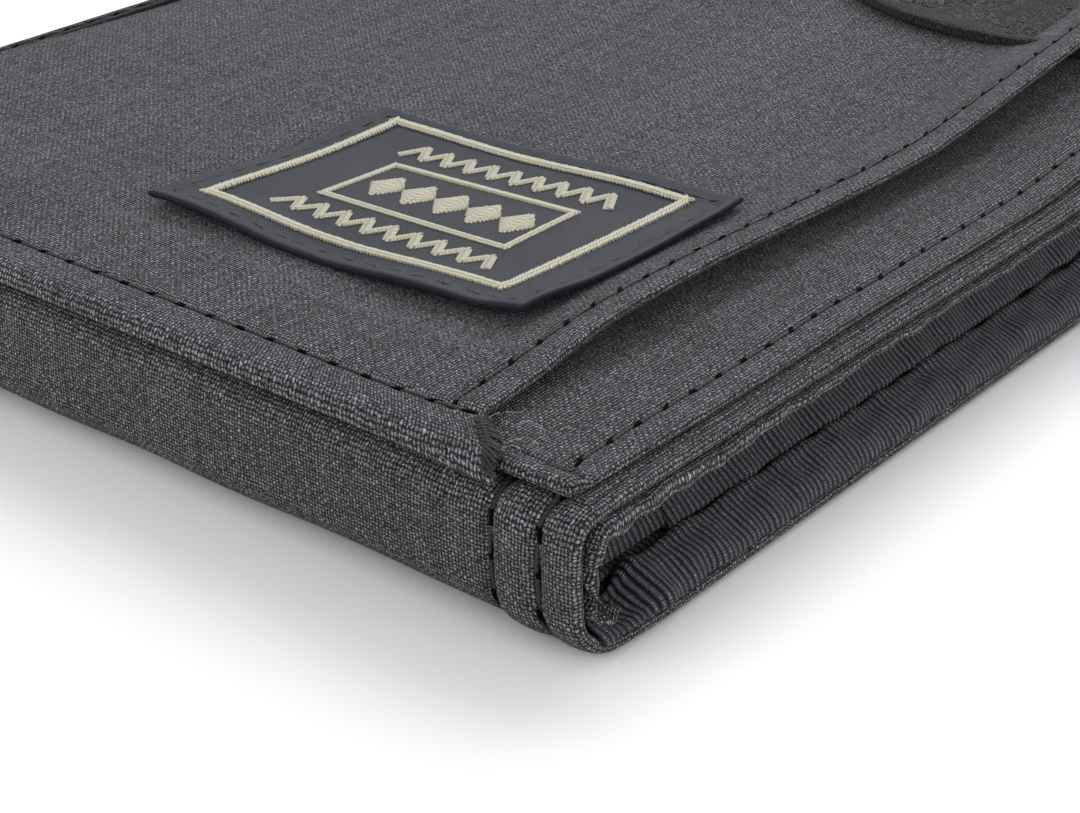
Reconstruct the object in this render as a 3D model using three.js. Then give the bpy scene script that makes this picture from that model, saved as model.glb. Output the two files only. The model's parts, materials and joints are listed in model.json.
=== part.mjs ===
// A canvas trifold wallet, closed and lying on its back panel. Millimetres, +Z up.
// +X is the mouth side, where notes slide in; -X is the sewn end; the near fold, which carries
// the cover, runs along X at the low-Y side, and the far fold, which carries the inner panel,
// runs along X at the high-Y side. The working origin is the mouth edge of the cover's pocket
// at the near fold, on the surface the wallet lies on; the group is centred on its own box.
import * as THREE from "three";

// Overall sizes
const bodyLength = 95; // along the folds, from the pocket's mouth edge to the sewn end
const bodyDepth = 96.5; // from the near fold line to the cover's far edge
const clearance = 0.3; // between layers that touch
const farRise = 3.2; // how far the folded layers lift the cover at the far fold
const riseLength = 36.5; // the stretch of the cover that is lifted
const risePower = 1.5;

// Cloth thicknesses
const shellCloth = 1.0;
const coverCloth = 0.8;
const innerCloth = 0.7;
const liningCloth = 0.6;
const slotCloth = 0.5;
const hemCloth = 0.4;
const pocketBackCloth = 0.5;
const pocketFrontCloth = 0.6;
const labelCloth = 0.8;
const tabCloth = 1.0;
const tapeCloth = 0.6;

// Edges measured along X from the pocket's mouth edge
const mouthOverhang = 1.8; // the back shell stands out past the pocket
const coverMouth = 0;
const facingMouth = 0.4;
const facingWidth = 8.4;
const pocketBackInset = 0.9;
const pocketBackHemWidth = 5;
const pocketFrontInset = 10.8;
const lipSetback = 0.2;
const lipWidth = 3.4;
const lipHeight = 1.8;
const liningInset = 2.3;
const bindingWidth = 2.2;
const bindingInset = 2.0;
const endBindingWidth = 1.2;

// Folds
const nearFoldBulge = 1.4; // how far the near fold stands out past the fold line
const nearPanelStart = 1.9; // where the flat panels begin
const farFoldBulge = 2.3;
const coverOverlap = 3; // how far the cover reaches past the back and inner panels
const innerPanelStart = 12; // the inner panel's free edge
const foldSteps = 12;

// Label
const labelStartX = -54.6;
const labelLength = 37.6;
const labelStartY = 14.4;
const labelDepth = 26;

// Closing tab
const tabStartX = -40;
const tabWidth = 36;
const tabBaseDepth = 10.5;
const tabDrop = 14.2; // how far the tab hangs down the far fold
const tapeHeight = 6;
const tapeFoot = 2;

// Card slots
const slotMargin = 8;
const lowSlotMouth = -34;
const highSlotMouth = -50;
const coverSlotMouth = -22;

const sewnEnd = -bodyLength;
const riseStart = bodyDepth - riseLength;
const farPanelEnd = bodyDepth - coverOverlap;
const tabStartY = bodyDepth - tabBaseDepth;
const panelStartX = sewnEnd + endBindingWidth + clearance;

// Levels: each layer sits on the one below with the clearance between them.
const layerThickness = {
  backShell: shellCloth,
  backLining: liningCloth,
  billDivider: liningCloth,
  centreSlotLow: slotCloth,
  centreSlotHigh: slotCloth,
  innerSlot: slotCloth,
  innerLining: liningCloth,
  innerShell: innerCloth,
  coverSlot: slotCloth,
  coverLining: liningCloth,
  coverShell: coverCloth,
  pocketBackHem: hemCloth,
  pocketBack: pocketBackCloth,
  pocketFront: pocketFrontCloth,
  label: labelCloth,
};
const layers = {};
let level = 0;
for (const [name, thickness] of Object.entries(layerThickness)) {
  layers[name] = { low: level, high: level + thickness, middle: level + thickness / 2 };
  level += thickness + clearance;
}

// Materials
function cloth(colour, roughness) {
  return new THREE.MeshStandardMaterial({ color: colour, roughness, metalness: 0 });
}
const canvas = cloth(0x4e5053, 0.9);
const ribbedLining = cloth(0x3a3b3e, 0.7);
const satin = cloth(0x1d1f26, 0.55);
const loopTape = cloth(0x26262b, 1.0);
const bindingTape = cloth(0x2e3033, 0.85);

// The lift of the inner panel and the cover towards the far fold.
function rise(y) {
  const share = Math.max(0, (y - riseStart) / riseLength);
  return farRise * Math.pow(share, risePower);
}

// The middle line of a panel layer in the YZ plane, flat or lifted towards the far fold.
function panelLine(startY, endY, middle, lifted) {
  if (!lifted || endY <= riseStart) {
    return [new THREE.Vector2(startY, middle), new THREE.Vector2(endY, middle)];
  }
  const line = startY < riseStart ? [new THREE.Vector2(startY, middle)] : [];
  const first = Math.max(startY, riseStart);
  const steps = 6;
  for (let i = 0; i <= steps; i += 1) {
    const y = first + ((endY - first) * i) / steps;
    line.push(new THREE.Vector2(y, middle + rise(y)));
  }
  return line;
}

// The middle line of a fold: half an ellipse from one panel's level to the other's.
function foldLine(panelY, bulgeY, lowMiddle, highMiddle) {
  const centre = (lowMiddle + highMiddle) / 2;
  const half = (highMiddle - lowMiddle) / 2;
  const line = [];
  for (let i = 0; i <= foldSteps; i += 1) {
    const turn = -Math.PI / 2 + (Math.PI * i) / foldSteps;
    const square = Math.sign(Math.sin(turn)) * Math.pow(Math.abs(Math.sin(turn)), 0.8);
    line.push(new THREE.Vector2(panelY + (bulgeY - panelY) * Math.pow(Math.cos(turn), 0.6),
      centre + half * square));
  }
  return line;
}

// A closed outline round a middle line, one cloth thickness wide.
function thicken(line, thickness) {
  const sides = [[], []];
  line.forEach((point, i) => {
    const before = line[Math.max(0, i - 1)];
    const after = line[Math.min(line.length - 1, i + 1)];
    const along = after.clone().sub(before).normalize();
    const normal = new THREE.Vector2(-along.y, along.x).multiplyScalar(thickness / 2);
    sides[0].push(point.clone().sub(normal));
    sides[1].push(point.clone().add(normal));
  });
  return new THREE.Shape([...sides[0], ...sides[1].reverse()]);
}

// A YZ outline extruded along X between two stations.
function extrudeAlongX(shape, startX, endX) {
  const geometry = new THREE.ExtrudeGeometry(shape, { depth: endX - startX, bevelEnabled: false });
  const cycle = new THREE.Matrix4().set(0, 0, 1, startX, 1, 0, 0, 0, 0, 1, 0, 0, 0, 0, 0, 1);
  return geometry.applyMatrix4(cycle);
}

// An XY outline extruded upwards.
function extrudeUp(shape, lowZ, height) {
  const geometry = new THREE.ExtrudeGeometry(shape, { depth: height, bevelEnabled: false });
  return geometry.translate(0, 0, lowZ);
}

const wallet = new THREE.Group();

function addPiece(name, geometry, material) {
  const mesh = new THREE.Mesh(geometry, material);
  mesh.name = name;
  wallet.add(mesh);
}

function addPanel(name, material, layer, spanX, spanY, lifted = false) {
  const line = panelLine(spanY[0], spanY[1], layer.middle, lifted);
  const shape = thicken(line, layer.high - layer.low);
  addPiece(name, extrudeAlongX(shape, spanX[0], spanX[1]), material);
}

function addFold(name, material, spanX, ends, thickness) {
  const line = foldLine(ends.panelY, ends.bulgeY, ends.low, ends.high);
  addPiece(name, extrudeAlongX(thicken(line, thickness), spanX[0], spanX[1]), material);
}

// A binding closes the sewn end of a stack of layers.
function addEndBinding(name, lowLayer, highLayer, spanY, lifted) {
  const stack = { low: lowLayer.low, high: highLayer.high };
  stack.middle = (stack.low + stack.high) / 2;
  addPanel(name, bindingTape, stack, [sewnEnd, sewnEnd + endBindingWidth], spanY, lifted);
}

// Back panel
const backSpanY = [nearPanelStart, farPanelEnd];
const nextToLip = -liningInset;
addPanel("back_shell", canvas, layers.backShell, [panelStartX, mouthOverhang], backSpanY);
addPanel("back_lining", ribbedLining, layers.backLining, [panelStartX, nextToLip], backSpanY);
addPanel("bill_divider", ribbedLining, layers.billDivider, [panelStartX, nextToLip], backSpanY);
const slotSpanY = [nearPanelStart + slotMargin, farPanelEnd - slotMargin];
const slotStartX = panelStartX + clearance;
addPanel("centre_slot_low", canvas, layers.centreSlotLow, [slotStartX, lowSlotMouth], slotSpanY);
addPanel("centre_slot_high", canvas, layers.centreSlotHigh, [slotStartX, highSlotMouth], slotSpanY);
addEndBinding("back_end_binding", layers.backShell, layers.billDivider, backSpanY, false);

// The ribbed facing turned over the back panel's mouth: a soft wedge that rises inwards.
const lipOuterX = mouthOverhang - lipSetback;
const lipInnerX = lipOuterX - lipWidth;
const lipLow = layers.backLining.low;
const lipShape = new THREE.Shape()
  .moveTo(lipInnerX, lipLow)
  .lineTo(lipOuterX, lipLow)
  .lineTo(lipOuterX, lipLow + hemCloth)
  .lineTo(lipInnerX + lipWidth * 0.2, lipLow + lipHeight)
  .lineTo(lipInnerX, lipLow + lipHeight);
const lipLength = farPanelEnd - nearPanelStart;
const lipGeometry = new THREE.ExtrudeGeometry(lipShape, { depth: lipLength, bevelEnabled: false })
  .rotateX(Math.PI / 2)
  .translate(0, farPanelEnd, 0);
addPiece("back_lip", lipGeometry, ribbedLining);

// Inner panel, folded in from the far fold
const innerSpanY = [innerPanelStart, farPanelEnd];
const innerMouth = -(bindingInset + bindingWidth + clearance);
const innerSlotSpanY = [innerPanelStart + slotMargin, farPanelEnd - slotMargin];
addPanel("inner_slot", canvas, layers.innerSlot, [slotStartX, lowSlotMouth], innerSlotSpanY, true);
addPanel("inner_lining", ribbedLining, layers.innerLining, [panelStartX, innerMouth], innerSpanY,
  true);
addPanel("inner_shell", canvas, layers.innerShell, [panelStartX, innerMouth], innerSpanY, true);
addEndBinding("inner_end_binding", layers.innerSlot, layers.innerShell, innerSpanY, true);
const bindingStack = {
  low: layers.billDivider.high + clearance,
  high: layers.innerShell.high,
};
bindingStack.middle = (bindingStack.low + bindingStack.high) / 2;
addPanel("inner_mouth_binding", ribbedLining, bindingStack,
  [-(bindingInset + bindingWidth), -bindingInset], innerSpanY, true);

// Cover, folded over last from the near fold
const coverSpanY = [nearPanelStart, bodyDepth];
const facingStartX = facingMouth - facingWidth;
const coverSlotSpanY = [nearPanelStart + slotMargin, bodyDepth - slotMargin];
addPanel("cover_slot", canvas, layers.coverSlot, [slotStartX, coverSlotMouth], coverSlotSpanY, true);
addPanel("cover_lining", ribbedLining, layers.coverLining, [panelStartX, facingStartX - clearance],
  coverSpanY, true);
addPanel("cover_facing", canvas, layers.coverLining, [facingStartX, facingMouth], coverSpanY, true);
addPanel("cover_shell", canvas, layers.coverShell, [panelStartX, coverMouth], coverSpanY, true);
addEndBinding("cover_end_binding", layers.coverLining, layers.pocketFront, coverSpanY, true);

// The slip pocket on the cover, open towards the mouth
const pocketSpanY = [0, bodyDepth];
addPanel("pocket_back_hem", canvas, layers.pocketBackHem, [-pocketBackHemWidth, coverMouth],
  pocketSpanY, true);
addPanel("pocket_back", canvas, layers.pocketBack, [panelStartX, -pocketBackInset], pocketSpanY,
  true);
addPanel("pocket_front", canvas, layers.pocketFront, [panelStartX, -pocketFrontInset], pocketSpanY,
  true);
addPanel("label", satin, layers.label, [labelStartX, labelStartX + labelLength],
  [labelStartY, labelStartY + labelDepth], true);

// Folds between the panels
const nearFoldX = [sewnEnd + clearance, mouthOverhang - clearance];
addFold("near_fold_shell", canvas, nearFoldX, {
  panelY: nearPanelStart - clearance,
  bulgeY: -nearFoldBulge + shellCloth / 2,
  low: layers.backShell.middle,
  high: layers.coverShell.middle,
}, shellCloth);
const nearInnerFold = {
  panelY: nearPanelStart - clearance,
  bulgeY: -nearFoldBulge + shellCloth + clearance + liningCloth / 2,
  low: layers.backLining.middle,
  high: layers.coverLining.middle,
};
addFold("near_fold_facing", canvas, [facingStartX, facingMouth], nearInnerFold, liningCloth);
addFold("near_fold_lining", ribbedLining, [panelStartX, facingStartX - clearance], nearInnerFold,
  liningCloth);
const farFoldOuter = farPanelEnd + clearance + farFoldBulge;
const farRiseAtFold = rise(farPanelEnd);
addFold("far_fold_shell", canvas, nearFoldX, {
  panelY: farPanelEnd + clearance,
  bulgeY: farFoldOuter - innerCloth / 2,
  low: layers.backShell.middle,
  high: layers.innerShell.middle + farRiseAtFold,
}, innerCloth);
addFold("far_fold_lining", ribbedLining, [panelStartX, innerMouth], {
  panelY: farPanelEnd + clearance,
  bulgeY: farFoldOuter - innerCloth - clearance - liningCloth / 2,
  low: layers.backLining.middle,
  high: layers.innerLining.middle + farRiseAtFold,
}, liningCloth);

// Closing tab: its base is sewn on the cover, the strap hangs over the far fold and holds by
// hook and loop tape.
const tabSpanX = [tabStartX, tabStartX + tabWidth];
const tabLayer = { low: layers.label.low, high: layers.label.low + tabCloth };
tabLayer.middle = (tabLayer.low + tabLayer.high) / 2;
addPanel("tab_base", loopTape, tabLayer, tabSpanX, [tabStartY, bodyDepth], true);

const loopStartY = farFoldOuter + clearance;
const hookStartY = loopStartY + tapeCloth + clearance;
const strapStartY = hookStartY + tapeCloth + clearance;
const strapTop = tabLayer.middle + rise(bodyDepth);
const strapLine = [
  new THREE.Vector2(bodyDepth + clearance, strapTop),
  new THREE.Vector2(strapStartY - 0.2, strapTop - 0.1),
  new THREE.Vector2(strapStartY + 0.3, strapTop - 0.5),
  new THREE.Vector2(strapStartY + tabCloth / 2, strapTop - 1.3),
  new THREE.Vector2(strapStartY + tabCloth / 2, strapTop - tabDrop),
];
addPiece("tab_strap", extrudeAlongX(thicken(strapLine.reverse(), tabCloth), ...tabSpanX), loopTape);

function addTape(name, startY) {
  const shape = new THREE.Shape()
    .moveTo(tabSpanX[0] + clearance, startY)
    .lineTo(tabSpanX[1] - clearance, startY)
    .lineTo(tabSpanX[1] - clearance, startY + tapeCloth)
    .lineTo(tabSpanX[0] + clearance, startY + tapeCloth);
  addPiece(name, extrudeUp(shape, tapeFoot, tapeHeight), loopTape);
}
addTape("loop_patch", loopStartY);
addTape("hook_patch", hookStartY);

// Centre the group on its own box, with the back panel's underside at zero.
const centreX = (sewnEnd + mouthOverhang) / 2;
const centreY = (strapStartY + tabCloth - nearFoldBulge) / 2;
wallet.position.set(-centreX, -centreY, 0);

export default wallet;
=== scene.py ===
# %% [markdown]
# # A canvas trifold wallet
# The wallet is sewn from thin layers: an outer canvas that wraps the back, the near fold and
# the cover, a slip pocket with a woven label on top, ribbed lining inside, and a hook-and-loop
# tab at the far fold. Each layer is modelled as a real sheet with a turned edge, because at
# this distance the eye reads the edges, the thread and the stitches before the overall shape.

# %% Load the frame
import json
import math
import bpy
import numpy as np
from mathutils import Matrix, Vector

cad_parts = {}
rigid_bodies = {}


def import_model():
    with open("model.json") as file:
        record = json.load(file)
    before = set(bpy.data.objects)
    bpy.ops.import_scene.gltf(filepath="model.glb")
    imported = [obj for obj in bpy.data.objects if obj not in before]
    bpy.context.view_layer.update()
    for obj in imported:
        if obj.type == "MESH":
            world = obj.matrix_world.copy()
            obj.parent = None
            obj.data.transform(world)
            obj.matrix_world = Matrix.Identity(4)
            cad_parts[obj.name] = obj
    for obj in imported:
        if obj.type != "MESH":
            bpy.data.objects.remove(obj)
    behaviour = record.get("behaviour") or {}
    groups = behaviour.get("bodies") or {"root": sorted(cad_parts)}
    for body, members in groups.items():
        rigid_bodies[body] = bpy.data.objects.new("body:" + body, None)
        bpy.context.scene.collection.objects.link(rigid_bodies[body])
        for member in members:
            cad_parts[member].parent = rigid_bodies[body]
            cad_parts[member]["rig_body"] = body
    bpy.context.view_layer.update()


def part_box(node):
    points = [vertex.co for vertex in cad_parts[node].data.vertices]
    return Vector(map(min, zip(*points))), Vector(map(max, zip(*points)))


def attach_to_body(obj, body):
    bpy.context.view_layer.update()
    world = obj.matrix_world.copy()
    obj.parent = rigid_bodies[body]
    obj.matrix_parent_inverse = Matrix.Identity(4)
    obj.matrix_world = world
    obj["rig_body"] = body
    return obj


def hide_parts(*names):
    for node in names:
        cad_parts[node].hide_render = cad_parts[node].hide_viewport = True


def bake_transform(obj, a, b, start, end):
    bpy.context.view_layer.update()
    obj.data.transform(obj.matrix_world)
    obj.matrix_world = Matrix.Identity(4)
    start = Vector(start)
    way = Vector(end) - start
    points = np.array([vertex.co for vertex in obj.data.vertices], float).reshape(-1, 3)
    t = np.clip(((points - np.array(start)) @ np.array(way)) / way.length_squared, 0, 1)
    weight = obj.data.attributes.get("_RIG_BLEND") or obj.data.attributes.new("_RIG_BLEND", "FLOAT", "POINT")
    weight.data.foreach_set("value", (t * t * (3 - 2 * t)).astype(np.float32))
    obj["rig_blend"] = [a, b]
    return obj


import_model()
scene = bpy.context.scene

# %% [markdown]
# ## A maker's coordinates
# Sewing is measured from edges, so the script works in millimetres from the corner where the
# cover's mouth meets the near fold line: x runs out of the mouth, y towards the far fold and
# z up. One function turns such points into the frame's metres. The levels of the layers are
# read from the frame's own pieces.

# %% Origin and levels
MM = 0.001
corner_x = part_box("cover_shell")[1].x / MM
fold_line_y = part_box("pocket_front")[0].y / MM


def to_frame(points):
    """Millimetres from the mouth corner to the frame's metres."""
    moved = np.asarray(points, float) + np.array([corner_x, fold_line_y, 0.0])
    return moved * MM


def low_mm(node):
    x, y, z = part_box(node)[0]
    return np.array([x / MM - corner_x, y / MM - fold_line_y, z / MM])


def high_mm(node):
    x, y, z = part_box(node)[1]
    return np.array([x / MM - corner_x, y / MM - fold_line_y, z / MM])


SEWN_END = low_mm("cover_end_binding")[0]
PANEL_START_X = low_mm("back_shell")[0]
DEPTH = high_mm("pocket_front")[1]
BACK_END = high_mm("back_shell")[1]
MOUTH_OVERHANG = high_mm("back_shell")[0]
POCKET_TOP = low_mm("pocket_front")[2] + 0.6
FAR_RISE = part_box("pocket_front")[1].z / MM - POCKET_TOP
RISE_LENGTH = 36.5
RISE_POWER = 1.5
print("cover depth", round(DEPTH, 2), "pocket top", round(POCKET_TOP, 2))


def rise(y):
    """How far the folded layers lift the cover at y."""
    share = np.clip((np.asarray(y, float) - (DEPTH - RISE_LENGTH)) / RISE_LENGTH, 0, None)
    return FAR_RISE * share ** RISE_POWER


# %% [markdown]
# ## The camera
# The wallet is seen from above its near corner with a long lens, a little over a quarter of
# a right angle above the table. The camera's axes are given as vectors, which is exact and
# needs no guess about the order of turns.

# %% Camera
LENS = 76.667
EYE = (75.157, -96.336, 81.883)
camera_data = bpy.data.cameras.new("camera")
camera = bpy.data.objects.new("camera", camera_data)
scene.collection.objects.link(camera)
scene.camera = camera
camera_data.sensor_width = 36
camera_data.lens = LENS
camera_data.clip_start = 0.01
camera_right = Vector((0.77571, 0.63109, -0.00092))
camera_up = Vector((-0.29171, 0.35985, 0.88624))
camera_back = Vector((0.55963, -0.68719, 0.46323))
eye = Vector(to_frame(EYE))
camera.matrix_world = Matrix.Translation(eye) @ Matrix(
    (camera_right, camera_up, camera_back)).transposed().to_4x4()
print("camera at", [round(v, 4) for v in eye])

# %% [markdown]
# ## Floor and light
# A near-white table under a broad softbox. The dark cloth needs a large light to show its
# weave, and a low one across it to draw the threads; hard lamps would make black holes of
# the gaps between the layers.

# %% Floor and lights
FLOOR_SIZE = 3.0
bpy.ops.mesh.primitive_plane_add(size=FLOOR_SIZE, location=(0, 0, -0.0001))
floor = bpy.context.object
floor.name = "floor"
floor_material = bpy.data.materials.new("pale_table")
floor_material.use_nodes = True
floor_shader = floor_material.node_tree.nodes["Principled BSDF"]
floor_shader.inputs["Base Color"].default_value = (0.75, 0.746, 0.735, 1)
floor_shader.inputs["Roughness"].default_value = 0.6
floor.data.materials.append(floor_material)


def softbox(name, place, aim, size, power, colour=(1, 1, 1)):
    light = bpy.data.lights.new(name, "AREA")
    light.shape = "RECTANGLE"
    light.size, light.size_y = size
    light.energy = power
    light.color = colour
    lamp = bpy.data.objects.new(name, light)
    lamp.location = place
    lamp.rotation_euler = (Vector(aim) - Vector(place)).to_track_quat("-Z", "Y").to_euler()
    scene.collection.objects.link(lamp)
    return lamp


softbox("window", (-0.35, 0.75, 0.75), (0, 0, 0), (0.9, 0.7), 10.5, (0.97, 0.985, 1.0))
softbox("near_fill", (-0.4, -0.95, 0.5), (0, 0, 0), (0.9, 0.7), 5.5, (1.0, 0.99, 0.97))
softbox("mouth_fill", (1.0, -0.1, 0.35), (0, 0, 0.01), (0.8, 0.5), 5.0, (1.0, 0.995, 0.985))
world = bpy.data.worlds.new("room")
world.use_nodes = True
world.node_tree.nodes["Background"].inputs["Color"].default_value = (0.93, 0.96, 1.0, 1)
world.node_tree.nodes["Background"].inputs["Strength"].default_value = 0.8
scene.world = world
scene.view_settings.view_transform = "Standard"
scene.view_settings.exposure = 0.0

# %% [markdown]
# ## A sheet of cloth with a turned edge
# Every panel is one closed sheet. Its middle surface is a path in the yz plane carried along
# x, and a rounded rim joins the outside to the inside, as cloth folded over an edge does.
# The mesh is written point by point, because then each point also gets the distance it lies
# along the cloth, in millimetres, as its UV: the weave keeps its true size on flat panels,
# round the folds and over the rims.


# %% Sheet maker
def spaced(length, coarse, zones=()):
    """Stations from 0 to length: coarse steps, finer inside zones of (start, end, step)."""
    marks = [0.0]
    at = 0.0
    while at < length - 1e-6:
        step = coarse
        for start, end, fine in zones:
            if start - 1e-6 <= at < end:
                step = min(step, fine)
        for start, _, _ in zones:
            if at < start < at + step:
                step = start - at
        at = min(length, at + step)
        marks.append(at)
    return np.array(marks)


def with_rims(stations, radius, steps=5):
    """Adds the close stations that round off both ends."""
    turn = np.linspace(0, math.pi / 2, steps)
    near = radius * (1 - np.cos(turn))
    length = stations[-1]
    inner = stations[(stations > radius * 1.2) & (stations < length - radius * 1.2)]
    return np.concatenate([near, inner, (length - near)[::-1]])


def rim_share(distance, radius):
    """0 at the edge, 1 once the rim has turned onto the flat."""
    t = np.clip(1 - distance / radius, 0, 1)
    return np.sqrt(np.clip(1 - t * t, 0, 1))


def rim_arc(distance, radius):
    """Distance from the edge measured over the rounded rim."""
    inside = np.clip(distance, 0, radius)
    return radius * np.arccos(1 - inside / radius) + np.clip(distance - radius, 0, None)


def resample(points, step):
    """A smooth path through points as (arc lengths, positions)."""
    points = np.asarray(points, float)
    legs = np.linalg.norm(np.diff(points, axis=0), axis=1)
    marks = np.concatenate([[0], np.cumsum(legs)])
    count = max(2, int(math.ceil(marks[-1] / step)) + 1)
    s = np.linspace(0, marks[-1], count)
    return s, np.stack([np.interp(s, marks, points[:, k]) for k in (0, 1)], axis=1)


def bend(centre, radius, start, end, steps=10):
    """Points of an arc in the yz plane, angles in degrees."""
    turn = np.radians(np.linspace(start, end, steps))
    return [(centre[0] + radius[0] * math.cos(a), centre[1] + radius[1] * math.sin(a)) for a in turn]


PATH_STEP = 0.15


def frontmost(path):
    """How far along a path it turns round the near fold."""
    marks, line = resample(path, PATH_STEP)
    return float(marks[np.argmin(line[:, 0])])


def sheet_surface(path, outward):
    """A function from (x, s, lift) to millimetres on a sheet whose middle follows path."""
    marks, line = resample(path, PATH_STEP)
    slope = np.gradient(line, marks, axis=0)
    slope /= np.linalg.norm(slope, axis=1)[:, None]
    kernel = np.ones(5) / 5
    for k in (0, 1):
        slope[2:-2, k] = np.convolve(slope[:, k], kernel, "valid")
    normal = np.stack([-slope[:, 1], slope[:, 0]], axis=1) * outward

    def place(x, s, lift):
        y = np.interp(s, marks, line[:, 0]) + lift * np.interp(s, marks, normal[:, 0])
        z = np.interp(s, marks, line[:, 1]) + lift * np.interp(s, marks, normal[:, 1])
        return np.stack(np.broadcast_arrays(x, y, z), axis=-1)

    place.length = marks[-1]
    return place


def write_mesh(name, outside, inside, uv_outside, uv_inside, material):
    """A closed mesh of two grids that share their border."""
    rows, columns = outside.shape[:2]
    index_out = np.arange(rows * columns).reshape(rows, columns)
    index_in = np.full((rows, columns), -1)
    inner_count = (rows - 2) * (columns - 2)
    index_in[1:-1, 1:-1] = rows * columns + np.arange(inner_count).reshape(rows - 2, columns - 2)
    border = index_in < 0
    index_in[border] = index_out[border]
    vertices = np.concatenate([outside.reshape(-1, 3), inside[1:-1, 1:-1].reshape(-1, 3)])

    def quads(index, uv, flip):
        corners = [(0, 0), (1, 0), (1, 1), (0, 1)]
        if flip:
            corners = corners[::-1]
        pick = [index[a:rows - 1 + a, b:columns - 1 + b].reshape(-1) for a, b in corners]
        uvs = [uv[a:rows - 1 + a, b:columns - 1 + b].reshape(-1, 2) for a, b in corners]
        return np.stack(pick, 1), np.stack(uvs, 1)

    middle = (rows // 2, columns // 2)
    across = outside[middle[0] + 1, middle[1]] - outside[middle]
    along = outside[middle[0], middle[1] + 1] - outside[middle]
    up = outside[middle] - inside[middle]
    flip = np.dot(np.cross(across, along), up) < 0
    faces_out, uv_out = quads(index_out, uv_outside, flip)
    faces_in, uv_in = quads(index_in, uv_inside, not flip)
    faces = np.concatenate([faces_out, faces_in])
    uvs = np.concatenate([uv_out, uv_in])
    mesh = bpy.data.meshes.new(name)
    mesh.from_pydata(to_frame(vertices).tolist(), [], faces.tolist())
    layer = mesh.uv_layers.new(name="cloth_mm")
    layer.data.foreach_set("uv", uvs.reshape(-1).astype(np.float32))
    mesh.polygons.foreach_set("use_smooth", np.ones(len(mesh.polygons), bool))
    mesh.materials.append(material)
    mesh.update()
    piece = bpy.data.objects.new(name, mesh)
    scene.collection.objects.link(piece)
    return piece


def make_sheet(name, place, x_span, thickness, material, relief=None, inner_relief=None,
               x_step=1.0, x_zones=(), s_step=1.0, s_zones=(), mouth=None, start=None,
               turn=(0.0, 0.0)):
    """A closed cloth sheet on a surface. mouth(s) moves its +x edge and start(x) its first edge."""
    x_low, x_high = x_span
    width = x_high - x_low
    radius = thickness / 2
    across = with_rims(spaced(width, x_step, [(a - x_low, b - x_low, c) for a, b, c in x_zones]), radius)
    along = with_rims(spaced(place.length, s_step, s_zones), radius)
    u, v = np.meshgrid(across, along, indexing="ij")
    s = v
    edge_shift = np.zeros_like(s) if mouth is None else mouth(s) - x_high
    x = x_low + u + edge_shift * np.clip((u - 0.6 * width) / (0.4 * width), 0, 1)
    if start is not None:
        s = s + start(x) * np.clip(1 - v / (0.3 * place.length), 0, 1)
    share = rim_share(np.minimum(u, width - u), radius) * rim_share(
        np.minimum(v, place.length - v), radius)
    bump = np.zeros_like(x) if relief is None else relief(x, s)
    inner = np.zeros_like(x) if inner_relief is None else inner_relief(x, s)
    body = 0.5 * (bump + inner)
    outside = place(x, s, share * (radius + bump) + (1 - share) * body)
    inside = place(x, s, -share * (radius - inner) + (1 - share) * body)
    over_x = rim_arc(width - u, radius)
    over_s = rim_arc(v, radius)
    uv_outside = np.stack([x_high - over_x + turn[0], over_s + turn[1]], -1)
    uv_inside = np.stack([x_high + over_x + turn[0], turn[1] - over_s], -1)
    return write_mesh(name, outside, inside, uv_outside, uv_inside, material)


def frame_point(x, y, z):
    return tuple(to_frame((x, y, z)))


def attach(piece, body, slot, *nodes):
    """Makes a piece ride on a body and stand for its nodes; slot is not used."""
    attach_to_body(piece, body)
    if nodes:
        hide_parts(*nodes)


def cross_near_fold(piece, low, high, slot, *nodes):
    """Lets a piece bend from the back to the cover between two heights and stand for its nodes; slot is not
    used.
    """
    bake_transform(piece, "back", "cover", start=frame_point(0, 0, low), end=frame_point(0, 0, high))
    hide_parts(*nodes)


# %% [markdown]
# ## How sewing shapes cloth
# A row of lockstitches pulls the layers together: the cloth sinks along the row, dimples at
# every needle hole and swells between the row and the folded edge. These small heights are
# added to the sheets themselves.

# %% Sewing relief
STITCH_PITCH = 3.0


def seam_relief(distance, along, depth=0.24, width=0.45, pitch=STITCH_PITCH):
    groove = -depth * np.exp(-(distance / width) ** 2)
    hole = (0.5 + 0.5 * np.cos(2 * math.pi * along / pitch)) ** 6
    return groove - 0.13 * hole * np.exp(-(distance / 0.36) ** 2)


def seam_line(place, x, s, lift, pitch=STITCH_PITCH, relief=None):
    """A seam through the points (x, s) of a sheet, as (points, normals, arc), cut to whole stitches.

    arc is measured from the first needle hole, so the sheet can dimple exactly at the holes."""
    sunk = np.zeros_like(s)
    if relief is not None:
        sunk = relief(x, s)
        window = max(3, int(round(pitch / np.linalg.norm(np.diff(place(x[:2], s[:2], 0), axis=0)))))
        padded = np.pad(sunk, window // 2, mode="edge")
        sunk = np.convolve(padded, np.ones(window) / window, "same")[window // 2:][:len(s)]
    points = place(x, s, lift + sunk)
    flat = place(x, s, lift)
    normals = place(x, s, lift + 1.0) - flat
    arc = np.concatenate([[0], np.cumsum(np.linalg.norm(np.diff(flat, axis=0), axis=1))])
    spare = arc[-1] - pitch * math.floor(arc[-1] / pitch)
    return points, normals, arc - spare / 2


def stitch_centres(line, pitch=STITCH_PITCH):
    """The part of a seam from its first stitch's middle to its last one's."""
    points, normals, arc = line
    count = int(round((arc[-1] + arc[0]) / pitch))
    at = np.linspace(0.5 * pitch, (count - 0.5) * pitch, max(2, (count - 1) * 12 + 1))
    pick = lambda values: np.stack([np.interp(at, arc, values[:, k]) for k in range(3)], axis=1)
    return pick(points), pick(normals), np.ones(len(at))


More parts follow.
